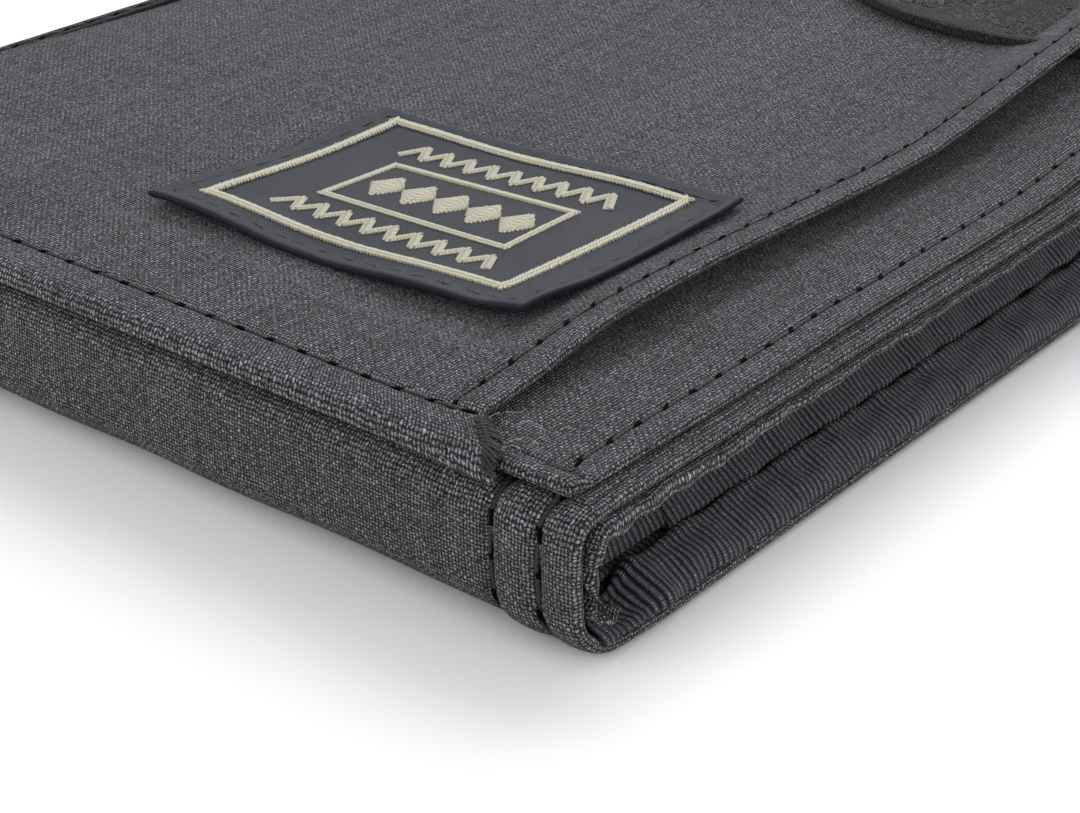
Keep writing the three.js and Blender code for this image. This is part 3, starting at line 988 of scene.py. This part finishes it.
END_BINDINGS = {"back_end_binding": "back", "inner_end_binding": "inner_panel", "cover_end_binding": "cover"}
for node, body in END_BINDINGS.items():
    low, high = low_mm(node), high_mm(node)
    lifted = rise if body != "back" else None
    top = high[2] - (float(rise(high[1])) if lifted else 0) - 0.05
    bottom = low[2] + 0.05
    x0, x1 = low[0] + 0.35, low[0] + 2.6
    section = [(x1, bottom + 0.2)] + [(x0 + 0.9 - 0.9 * math.sin(t), (top + bottom) / 2
                                       - (top - bottom - 0.4) / 2 * math.cos(t))
                                      for t in np.linspace(0, math.pi, 13)] + [(x1, top - 0.2)]
    binding = make_band(node + "_tape", section, (low[1], high[1]), 0.4, binding_tape, lift=lifted,
                        relief=lambda u, y: 0.04 * waviness(u, y, 5, 61), y_step=0.8)
    attach(binding, body, "binding_tape", node)

# %% [markdown]
# ## Thread, made once
# Lockstitches, satin-stitch embroidery, tacks and tape loops are all the same thing: a short
# bent piece of thread, repeated along a line. One Geometry Nodes tree makes them. It spaces
# points along each line, turns a thread to the line's direction and the cloth's normal, leans
# it by a given angle, and realises the copies so that the result is a plain mesh.


# %% Thread tree
def thread_tree(name):
    tree = bpy.data.node_groups.new(name, "GeometryNodeTree")
    sockets = [("Lines", "Geometry"), ("Spacing", "Float"), ("Thread length", "Float"),
               ("Thread radius", "Float"), ("Arch", "Float"), ("Lean", "Float"), ("Jitter", "Float"),
               ("Seed", "Int"), ("Thread material", "Material")]
    for label, kind in sockets:
        tree.interface.new_socket(label, in_out="INPUT", socket_type="NodeSocket" + kind)
    tree.interface.new_socket("Threads", in_out="OUTPUT", socket_type="NodeSocketGeometry")
    given = tree.nodes.new("NodeGroupInput").outputs

    def node(kind, inputs=(), **settings):
        made = tree.nodes.new(kind)
        for key, value in settings.items():
            setattr(made, key, value)
        for key, value in dict(inputs).items():
            if isinstance(value, bpy.types.NodeSocket):
                tree.links.new(value, made.inputs[key])
            else:
                made.inputs[key].default_value = value
        return made

    def maths(operation, a, b):
        return node("ShaderNodeMath", {0: a, 1: b}, operation=operation).outputs[0]

    half = maths("MULTIPLY", given["Thread length"], 0.5)
    dip = maths("MULTIPLY", given["Arch"], -1.0)
    start = node("ShaderNodeCombineXYZ", {0: maths("MULTIPLY", half, -1.0), 2: dip}).outputs[0]
    end = node("ShaderNodeCombineXYZ", {0: half, 2: dip}).outputs[0]
    middle = node("ShaderNodeCombineXYZ", {2: given["Arch"]}).outputs[0]
    arc = node("GeometryNodeCurveQuadraticBezier",
               {"Resolution": 6, "Start": start, "Middle": middle, "End": end}).outputs[0]
    factor = node("GeometryNodeSplineParameter").outputs["Factor"]
    full = maths("MULTIPLY", maths("MULTIPLY", factor, maths("SUBTRACT", 1.0, factor)), 4.0)
    taper = maths("ADD", maths("MULTIPLY", maths("POWER", full, 0.5), 0.6), 0.4)
    tapered = node("GeometryNodeSetCurveRadius", {"Curve": arc, "Radius": taper}).outputs[0]
    section = node("GeometryNodeCurvePrimitiveCircle",
                   {"Resolution": 6, "Radius": given["Thread radius"]}).outputs[0]
    strand = node("GeometryNodeCurveToMesh",
                  {"Curve": tapered, "Profile Curve": section, "Fill Caps": True}).outputs[0]
    here = node("GeometryNodeInputPosition").outputs[0]
    strand = node("GeometryNodeStoreNamedAttribute",
                  {"Geometry": strand, "Name": "strand", 3: here}, data_type="FLOAT_VECTOR").outputs[0]

    curve = node("GeometryNodeMeshToCurve", {"Mesh": given["Lines"]}).outputs[0]
    spaced_out = node("GeometryNodeResampleCurve", {"Curve": curve, "Length": given["Spacing"]},
                      mode="LENGTH").outputs[0]
    tangent = node("GeometryNodeInputTangent").outputs[0]
    normal = node("GeometryNodeInputNamedAttribute", {"Name": "cloth_normal"},
                  data_type="FLOAT_VECTOR").outputs[0]
    size = node("GeometryNodeInputNamedAttribute", {"Name": "thread_size"}, data_type="FLOAT").outputs[0]
    along = node("FunctionNodeAlignRotationToVector", {"Vector": tangent}, axis="X").outputs[0]
    upright = node("FunctionNodeAlignRotationToVector", {"Rotation": along, "Vector": normal},
                   axis="Z", pivot_axis="X").outputs[0]
    stray = node("FunctionNodeRandomValue", {"Seed": given["Seed"], 2: -1.0, 3: 1.0}).outputs[1]
    angle = maths("ADD", given["Lean"], maths("MULTIPLY", stray, given["Jitter"]))
    lean = node("FunctionNodeEulerToRotation",
                {0: node("ShaderNodeCombineXYZ", {2: angle}).outputs[0]}).outputs[0]
    turned = node("FunctionNodeRotateRotation", {"Rotation": upright, "Rotate By": lean},
                  rotation_space="LOCAL").outputs[0]
    scale = node("ShaderNodeCombineXYZ", {0: size, 1: 1.0, 2: 1.0}).outputs[0]
    copies = node("GeometryNodeInstanceOnPoints", {"Points": spaced_out, "Instance": strand,
                                                   "Rotation": turned, "Scale": scale}).outputs[0]
    real = node("GeometryNodeRealizeInstances", {"Geometry": copies}).outputs[0]
    soft = node("GeometryNodeSetShadeSmooth", {"Geometry": real}).outputs[0]
    done = node("GeometryNodeSetMaterial", {"Geometry": soft, "Material": given["Thread material"]})
    out = tree.nodes.new("NodeGroupOutput")
    tree.links.new(done.outputs[0], out.inputs[0])
    return tree


THREAD_TREE = thread_tree("thread_along_lines")


def make_threads(name, lines, material, spacing, length, radius, arch, lean=0.0, jitter=0.05, seed=1):
    """A mesh of threads along lines of (points, normals, sizes), all lengths in millimetres."""
    mesh = bpy.data.meshes.new(name + "_lines")
    points = np.concatenate([line[0] for line in lines])
    counts = [len(line[0]) for line in lines]
    ends = np.cumsum(counts)
    edges = [(i, i + 1) for end, count in zip(ends, counts) for i in range(end - count, end - 1)]
    mesh.from_pydata(to_frame(points).tolist(), edges, [])
    normals = mesh.attributes.new("cloth_normal", "FLOAT_VECTOR", "POINT")
    normals.data.foreach_set("vector", np.concatenate([line[1] for line in lines]).ravel().astype(np.float32))
    sizes = mesh.attributes.new("thread_size", "FLOAT", "POINT")
    sizes.data.foreach_set("value", np.concatenate([line[2] for line in lines]).astype(np.float32))
    guide = bpy.data.objects.new(name + "_guide", mesh)
    scene.collection.objects.link(guide)
    modifier = guide.modifiers.new("threads", "NODES")
    modifier.node_group = THREAD_TREE
    values = {"Spacing": spacing * MM, "Thread length": length * MM, "Thread radius": radius * MM,
              "Arch": arch * MM, "Lean": math.radians(lean), "Jitter": jitter, "Seed": seed,
              "Thread material": material}
    for socket in THREAD_TREE.interface.items_tree:
        if socket.in_out == "INPUT" and socket.name in values:
            modifier[socket.identifier] = values[socket.name]
    evaluated = guide.evaluated_get(bpy.context.evaluated_depsgraph_get())
    plain = bpy.data.meshes.new_from_object(evaluated)
    plain.name = name
    piece = bpy.data.objects.new(name, plain)
    scene.collection.objects.link(piece)
    bpy.data.objects.remove(guide)
    bpy.data.meshes.remove(mesh)
    print(name, "faces", len(plain.polygons))
    return piece


# %% [markdown]
# ## Thread finishes
# A sewing thread is two plies twisted together. The tree leaves each point's place on its own
# strand in an attribute, so the twist is a wave of the angle round the strand plus the
# distance along it.


# %% Thread materials
def thread_material(name, dark, pale, twist, roughness, sheen):
    material, tree, shader = new_material(name)
    strand = tree.nodes.new("ShaderNodeAttribute")
    strand.attribute_name = "strand"
    split = tree.nodes.new("ShaderNodeSeparateXYZ")
    tree.links.new(strand.outputs["Vector"], split.inputs[0])
    around = math_node(tree, "ARCTAN2", split.outputs[1], split.outputs[2])
    turn = math_node(tree, "MULTIPLY", split.outputs[0], 2 * math.pi / (twist * MM))
    ply = math_node(tree, "MULTIPLY_ADD", math_node(tree, "SINE", math_node(
        tree, "ADD", math_node(tree, "MULTIPLY", around, 2.0), turn)), 0.5, 0.5)
    place = tree.nodes.new("ShaderNodeTexCoord").outputs["Object"]
    fibre = noise(tree, place, 5200.0, 2.0, 0.6)
    # Painted shade and highlight: the colour follows the twist, darker in the groove between the plies and
    # paler on their crests.
    tone = math_node(tree, "MULTIPLY", math_node(tree, "MULTIPLY_ADD", ply, 0.6, 0.4),
                     math_node(tree, "MULTIPLY_ADD", fibre, 1.0, 0.5))
    tree.links.new(ramp(tree, tone, [(0.1, dark), (0.85, pale)]), shader.inputs["Base Color"])
    shader.inputs["Roughness"].default_value = roughness
    shader.inputs["Sheen Weight"].default_value = sheen
    shader.inputs["Specular IOR Level"].default_value = 0.2
    add_bump(tree, shader, ply, 0.03)
    return material


black_thread = thread_material("black_thread", (0.0015, 0.0015, 0.002), (0.026, 0.0265, 0.029),
                               0.45, 0.6, 0.0)
cream_thread = thread_material("cream_thread", (0.10, 0.088, 0.055), (0.40, 0.37, 0.265), 0.7, 0.42, 0.25)
# The fibres' pale grey is partly their own colour and partly painted glint on the hairs.
grey_fibre_and_glint = thread_material("grey_fibre_and_glint", (0.10, 0.10, 0.105), (0.34, 0.34, 0.33), 0.5, 0.6, 0.3)
# Painted shadow: a near-black material for the small pits that stand for the shade inside each needle hole.
needle_hole_shadow, _, hole_shadow_shader = new_material("needle_hole_shadow")
hole_shadow_shader.inputs["Base Color"].default_value = (0.0015, 0.0015, 0.002, 1)
hole_shadow_shader.inputs["Roughness"].default_value = 0.95
hole_shadow_shader.inputs["Specular IOR Level"].default_value = 0.05

# %% [markdown]
# ## Lockstitch rows
# Each row is a thread between needle holes 3 mm apart. The sheets were already dimpled at the
# same holes; here the threads and small near-black pits, painted shadow in each needle hole,
# are laid into the groove. A row takes the same body, or the same bend, as the cloth it is
# sewn into.


# %% Seams
def sew(name, lines, pitch, host, arch=0.1, seed=1):
    """Threads, and near-black pits painted as the shadow in each needle hole, along seam lines, moving as the
    piece host does.
    """
    centres = [stitch_centres(line, pitch) for line in lines]
    threads = make_threads(name, centres, black_thread, pitch, pitch * 0.86, 0.17, arch, seed=seed)
    holes = []
    for points, normals, arc in lines:
        count = int(round((arc[-1] + arc[0]) / pitch))
        at = np.linspace(0, count * pitch, count * 12 + 1)
        place = np.stack([np.interp(at, arc, points[:, k]) for k in range(3)], axis=1)
        up = np.stack([np.interp(at, arc, normals[:, k]) for k in range(3)], axis=1)
        holes.append((place - 0.07 * up, up, np.ones(len(at))))
    pits = make_threads(name + "_holes", holes, needle_hole_shadow, pitch, 1.4, 0.21, 0.12, 14.0, 0.3, seed + 1)
    for piece in (threads, pits):
        if "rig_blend" in host:
            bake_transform(piece, *host["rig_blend"], start=tuple(to_frame(host["bend_from"])),
                     end=tuple(to_frame(host["bend_to"])))
        else:
            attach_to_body(piece, host["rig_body"])
    return threads


outer["bend_from"], outer["bend_to"] = (0, 0, 1.2), (0, 0, 9.6)
hem_seams = [seam_line(outer_place, shell_mouth(seam_s) - inset, seam_s, 0.5, relief=shell_relief)
             for inset in HEM_ROWS]
for hem_points, _, _ in hem_seams:
    hem_points[:, 2] = np.maximum(hem_points[:, 2], 0.34)
sew("hem_stitches", hem_seams, STITCH_PITCH, outer, seed=3)
back_seam = seam_line(pocket_back_place, pocket_back_mouth(back_row_s) - BACK_ROW, back_row_s, 0.32,
                      relief=pocket_back_relief)
sew("pocket_back_stitches", [back_seam], STITCH_PITCH, pocket_back, seed=5)
mouth_seam_line = seam_line(front_place, front_mouth(mouth_row_s) - MOUTH_ROW, mouth_row_s, 0.4,
                            relief=front_relief)
fold_seam_line = seam_line(front_place, fold_row_x, fold_row_x * 0 + ROW_FROM_FOLD, 0.4, relief=front_relief)
sew("pocket_front_stitches", [mouth_seam_line, fold_seam_line], STITCH_PITCH, pocket_front, seed=7)

# %% Lip and binding seams
LIP_PITCH = 3.4
lip_y = np.arange(6.8, BACK_END - 4, 0.2)
lip_line = (np.stack([np.full(len(lip_y), -1.34), lip_y, np.full(len(lip_y), 3.1)], axis=1),
            np.tile([0.25, 0.0, 0.97], (len(lip_y), 1)), lip_y - lip_y[0])
sew("lip_stitches", [lip_line], LIP_PITCH, lip, seed=9)
END_ROW = 1.9
edge_y = np.arange(2.0, DEPTH - 2, 0.25)
end_top = high_mm("cover_end_binding")[2] - float(rise(high_mm("cover_end_binding")[1]))
end_line = (np.stack([np.full(len(edge_y), SEWN_END + END_ROW), edge_y, end_top + rise(edge_y)], axis=1),
            np.tile([0.0, 0.0, 1.0], (len(edge_y), 1)), edge_y - edge_y[0])
sew("end_stitches", [end_line], STITCH_PITCH, pocket_front, seed=11)

# %% [markdown]
# ## The label
# A black satin label lies on the pocket's front and waves a little with it. It is a thin sheet
# with a raised edge; its embroidery is satin stitch in cream thread: a corded frame with a
# fine inner panel of lozenges between two zigzag borders, a neutral pattern.

# %% Label cloth
LABEL_WIDTH, LABEL_HEIGHT, LABEL_THICKNESS = 37.0, 26.4, 0.5
LABEL_CORNERS = np.array([[(-54.4, 14.1), (-52.9, 40.2)], [(-17.3, 15.2), (-17.2, 42.2)]])
front_s_start = float(sheet_surface(FRONT_ROLL + [(1.5, 12.0)], 1).length) - 1.5


def label_ground(x, y):
    """The top of the pocket's front under the label."""
    return 12.0 + POCKET_FRONT / 2 + rise(y) + front_relief(x, y + front_s_start)


def label_place(u, v, lift):
    u, v = np.broadcast_arrays(u, v)
    a, b = u / LABEL_WIDTH, v / LABEL_HEIGHT
    xy = ((1 - a) * (1 - b))[..., None] * LABEL_CORNERS[0, 0] + (a * (1 - b))[..., None] * LABEL_CORNERS[1, 0]
    xy = xy + ((1 - a) * b)[..., None] * LABEL_CORNERS[0, 1] + (a * b)[..., None] * LABEL_CORNERS[1, 1]
    edge = np.minimum(np.minimum(u, LABEL_WIDTH - u), np.minimum(v, LABEL_HEIGHT - v))
    wave = 0.22 + 0.4 * np.sin(2 * math.pi * (a * 1.45 + 0.12)) * (1 - 0.6 * b) + 0.12 * np.sin(7 * b + 1)
    curl = 0.75 * ease(a, 0.86, 1.0) * ease(b, 0.35, 0.0) + 0.35 * ease(a, 0.1, 0.0) * ease(b, 0.5, 1.0)
    ground = label_ground(xy[..., 0], xy[..., 1])
    height = ground + 0.32 + np.clip(wave, 0, None) * ease(edge, 9.0, 0.0) + curl
    return np.stack([xy[..., 0], xy[..., 1], height + lift], axis=-1)


label_place.length = LABEL_HEIGHT
LABEL_ROW = 1.25


def label_relief(u, v):
    edge = np.minimum(np.minimum(u, LABEL_WIDTH - u), np.minimum(v, LABEL_HEIGHT - v))
    return 0.12 * ease(edge, 1.9, 1.2) + seam_relief(edge - LABEL_ROW, u + v, depth=0.12, width=0.3)


def satin_material(name, dark, pale, thread=0.16):
    material, tree, shader = new_material(name)
    uv, _, v = cloth_uv(tree)
    phase = math_node(tree, "MULTIPLY", v, math.pi / thread)
    rows = math_node(tree, "ABSOLUTE", math_node(tree, "SINE", phase))
    float_over = noise(tree, uv, 2.2, 3.0, 0.7, (0.5, 3.0, 1.0))
    tone = math_node(tree, "MULTIPLY", math_node(tree, "MULTIPLY_ADD", rows, 0.5, 0.5),
                     math_node(tree, "MULTIPLY_ADD", float_over, 0.9, 0.5))
    tree.links.new(ramp(tree, tone, [(0.15, dark), (0.9, pale)]), shader.inputs["Base Color"])
    shader.inputs["Roughness"].default_value = 0.5
    shader.inputs["Sheen Weight"].default_value = 0.02
    shader.inputs["Specular IOR Level"].default_value = 0.14
    add_bump(tree, shader, tone, 0.05)
    return material


satin = satin_material("black_satin", (0.0015, 0.0018, 0.003), (0.010, 0.0118, 0.0195))
label = make_sheet("label_cloth", label_place, (0.0, LABEL_WIDTH), LABEL_THICKNESS, satin,
                   relief=label_relief, x_step=0.5, s_step=0.5)
attach(label, "cover", "satin", "label")


# %% Embroidery
def label_line(corners, step=0.2, lift=0.34, sizes=None):
    """A line through label points (u, v), as (points, normals, sizes)."""
    corners = np.asarray(corners, float)
    legs = np.linalg.norm(np.diff(corners, axis=0), axis=1)
    marks = np.concatenate([[0], np.cumsum(legs)])
    at = np.linspace(0, marks[-1], max(2, int(marks[-1] / step)))
    u, v = (np.interp(at, marks, corners[:, k]) for k in (0, 1))
    size = np.ones(len(at)) if sizes is None else sizes(at / marks[-1])
    return label_place(u, v, lift), np.tile([0.0, 0.0, 1.0], (len(at), 1)), size


def box_lines(u0, v0, u1, v1, **settings):
    corners = [(u0, v0), (u1, v0), (u1, v1), (u0, v1), (u0, v0)]
    return [label_line([a, b], **settings) for a, b in zip(corners, corners[1:])]


def lozenge(u, v, half_width):
    return label_line([(u - half_width, v), (u + half_width, v)], lift=0.3,
                      sizes=lambda t: 0.12 + 0.88 * (1 - np.abs(2 * t - 1)))


inner_box = (9.0, 9.6, LABEL_WIDTH - 9.6, LABEL_HEIGHT - 8.6)
zigzag = lambda v, height, count: label_line(
    [(7.6 + (LABEL_WIDTH - 15.6) * k / count, v + (height if k % 2 else 0)) for k in range(count + 1)],
    step=0.12, lift=0.3)
frame_corners = [(3.3, 3.1), (LABEL_WIDTH - 4.5, 3.2), (LABEL_WIDTH - 3.8, LABEL_HEIGHT - 2.3),
                 (2.6, LABEL_HEIGHT - 1.6), (3.3, 3.1)]
frame_lines = [label_line([a, b]) for a, b in zip(frame_corners, frame_corners[1:])]
embroidery = [
    make_threads("label_frame", frame_lines, cream_thread, 0.33, 1.25, 0.2, 0.09, 38.0, 0.12, 21),
    make_threads("label_panel", box_lines(*inner_box, lift=0.3), cream_thread, 0.25, 0.85, 0.15, 0.07, 42.0,
                 0.12, 22),
    make_threads("label_zigzags", [zigzag(5.6, 2.1, 18), zigzag(LABEL_HEIGHT - 6.6, 2.1, 18)], cream_thread,
                 0.22, 0.75, 0.15, 0.08, 90.0, 0.15, 23),
    make_threads("label_lozenges", [lozenge(11.9 + 3.3 * k, LABEL_HEIGHT / 2 + 0.5, 1.45) for k in range(5)],
                 cream_thread, 0.2, 4.6, 0.14, 0.1, 90.0, 0.04, 24),
]
edge_seams = [label_line([a, b], lift=0.2) for a, b in (
    ((LABEL_ROW, LABEL_ROW), (LABEL_WIDTH - LABEL_ROW, LABEL_ROW)),
    ((LABEL_WIDTH - LABEL_ROW, LABEL_ROW), (LABEL_WIDTH - LABEL_ROW, LABEL_HEIGHT - LABEL_ROW)),
    ((LABEL_WIDTH - LABEL_ROW, LABEL_HEIGHT - LABEL_ROW), (LABEL_ROW, LABEL_HEIGHT - LABEL_ROW)),
    ((LABEL_ROW, LABEL_HEIGHT - LABEL_ROW), (LABEL_ROW, LABEL_ROW)))]
embroidery.append(make_threads("label_topstitch", edge_seams, black_thread, 2.2, 1.9, 0.15, 0.09,
                               0.0, 0.06, 25))
for piece in embroidery:
    attach(piece, "cover", "satin")

# %% [markdown]
# ## The hook-and-loop tab
# A strip of tape is sewn on the pocket near the far fold, bends over it and hangs down to a
# hook patch that grips the loop patch on the back. Base and strap are one sheet that bends
# where the tab peels; its pile is many small loops of fibre standing on it.

# %% Tab
tab_x = (low_mm("tab_base")[0], high_mm("tab_base")[0])
strap_outer = high_mm("tab_strap")[1]
tab_ys = np.linspace(84.6, DEPTH - 1.2, 10)
tab_path = [(y, 12.0 + POCKET_FRONT / 2 + 0.5 + float(rise(y))) for y in tab_ys]
tab_top = tab_path[-1][1]
tab_path += bend((DEPTH - 0.6, tab_top - 2.4), (strap_outer - DEPTH + 0.1, 2.4), 80, 4, 8)
tab_path += [(strap_outer - 0.5, z) for z in (12.0, 8.0, 5.0, low_mm("tab_strap")[2] + 0.1)]
tab_place = sheet_surface(tab_path, 1)


def tab_start(x):
    """The base's near end is cut round: nearest a little off its middle."""
    return 3.6 * np.clip(np.abs(x + 22.0) / 14.5, 0, 1.2) ** 2.2


def tab_relief(x, s):
    nap = 0.1 * waviness(x, s, 2.6, 71) + 0.12 * waviness(x, s, 9, 72)
    return nap * ease(s, 0, 2) + 0.25 * ease(s - tab_start(x), 2.6, 0.8)


tape = canvas_material("loop_tape", 0.42, (0.003, 0.003, 0.004), (0.06, 0.055, 0.062), 0.6, 0.1, 0.15)
tab = make_sheet("tab_strap_cloth", tab_place, tab_x, 0.8, tape, relief=tab_relief, x_step=0.8, s_step=0.6,
                 start=tab_start)
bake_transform(tab, "cover", "tab", start=tuple(to_frame((0, DEPTH - 1.5, tab_top))),
         end=tuple(to_frame((0, strap_outer - 0.4, tab_top - 2.6))))
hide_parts("tab_base", "tab_strap")


# %% Pile and patches
def pile(name, place, u_span, s_span, lift, count, radius, length, arch, material, seed, start=None):
    """Loops of fibre standing on a sheet: short lines scattered evenly with a fixed seed."""
    draw = np.random.default_rng(seed)
    lines = []
    for _ in range(count):
        x = draw.uniform(*u_span)
        s = draw.uniform(*s_span) + (0 if start is None else float(start(x)))
        turn = draw.uniform(0, math.pi)
        ends_x = x + np.array([-0.1, 0.1]) * math.cos(turn)
        ends_s = s + np.array([-0.1, 0.1]) * math.sin(turn)
        points = place(ends_x, ends_s, lift)
        lines.append((points, place(ends_x, ends_s, lift + 1) - points, draw.uniform(0.7, 1.3, 2)))
    return make_threads(name, lines, material, 0.3, length, radius, arch, 0.0, 0.9, seed)


tape_fibre = thread_material("tape_fibre", (0.004, 0.004, 0.005), (0.05, 0.046, 0.052), 0.6, 0.6, 0.1)
tab_pile = pile("tab_pile", tab_place, (tab_x[0] + 0.8, tab_x[1] - 0.8), (1.0, 9.0), 0.42, 900,
                0.06, 1.3, 0.25, tape_fibre, 81, tab_start)
attach(tab_pile, "cover", "loop_tape")
for node, body, side in (("hook_patch", "tab", -1), ("loop_patch", "back", 1)):
    low, high = low_mm(node), high_mm(node)
    y = (low[1] + high[1]) / 2
    place = sheet_surface([(y, low[2] + 0.05), (y, high[2] - 0.05)], -side)
    patch = make_sheet(node + "_tape", place, (low[0], high[0]), 0.5, tape,
                       relief=lambda x, s: 0.04 * waviness(x, s, 2.2, 73), x_step=1.0, s_step=0.5)
    attach(patch, body, "loop_tape", node)

# %% [markdown]
# ## Tacks, loose fibres and lint
# The pocket's corners are held by tacks: a dense zigzag of thread across the edges. Worn
# canvas also sheds fibres. Both are the same thread again, in other sizes.

# %% Tacks
def tack(place, x, s, lift, width):
    """Zigzag threads packed along a short line on a sheet."""
    points = place(x, s, lift)
    return points, place(x, s, lift + 1) - points, np.full(len(x), width)


tack_s = np.linspace(0.6, 4.2, 16)
tack_x = front_mouth(tack_s) - 0.25
front_tack = tack(front_place, tack_x, tack_s, 0.36 + front_relief(tack_x, tack_s), 0.9)
corner_x_span = np.linspace(-4.6, -2.2, 8)
corner_tack = tack(pocket_back_place, corner_x_span, corner_x_span * 0 + 2.1, 0.2, 0.9)
tacks = make_threads("corner_tacks", [front_tack, corner_tack], black_thread, 0.36, 1.9, 0.13, 0.26,
                     62.0, 0.5, 31)
attach(tacks, "cover", "canvas")


# %% Loose fibres
def scatter(name, place, x_span, s_span, lift, count, length, radius, arch, material, seed, spread=0.5):
    draw = np.random.default_rng(seed)
    lines = []
    for _ in range(count):
        x, s, turn = draw.uniform(*x_span), draw.uniform(*s_span), draw.uniform(0, math.pi)
        step = 0.02 * np.array([math.cos(turn), math.sin(turn)])
        points = place(np.array([x, x + step[0]]), np.array([s, s + step[1]]), lift)
        tilt = draw.normal(0, spread, 3) + np.array([0, 0, 1.0])
        lines.append((points, np.tile(tilt, (2, 1)), np.full(2, draw.uniform(0.4, 1.3))))
    return make_threads(name, lines, material, 0.5, length, radius, arch, 0.0, 0.5, seed)


# Pale grey fibres: partly real fibre and lint, partly painted glint on the hairs by the tacks.
fibre_fields = [
    ("corner_fibres", front_place, (-13, -6), (0.2, 7), 0.42, 16, 1.5, 0.014, 0.35),
    ("edge_fibres", pocket_back_place, (-9, -1.2), (0.4, 20), 0.3, 22, 1.4, 0.013, 0.3),
    ("pocket_lint", front_place, (PANEL_START_X + 4, -12), (5, 80), 0.36, 60, 0.9, 0.014, 0.1),
]
for name, place, x_span, s_span, lift, count, length, radius, arch in fibre_fields:
    fibres = scatter(name, place, x_span, s_span, lift, count, length, radius, arch, grey_fibre_and_glint, len(name))
    attach(fibres, "cover", "canvas")
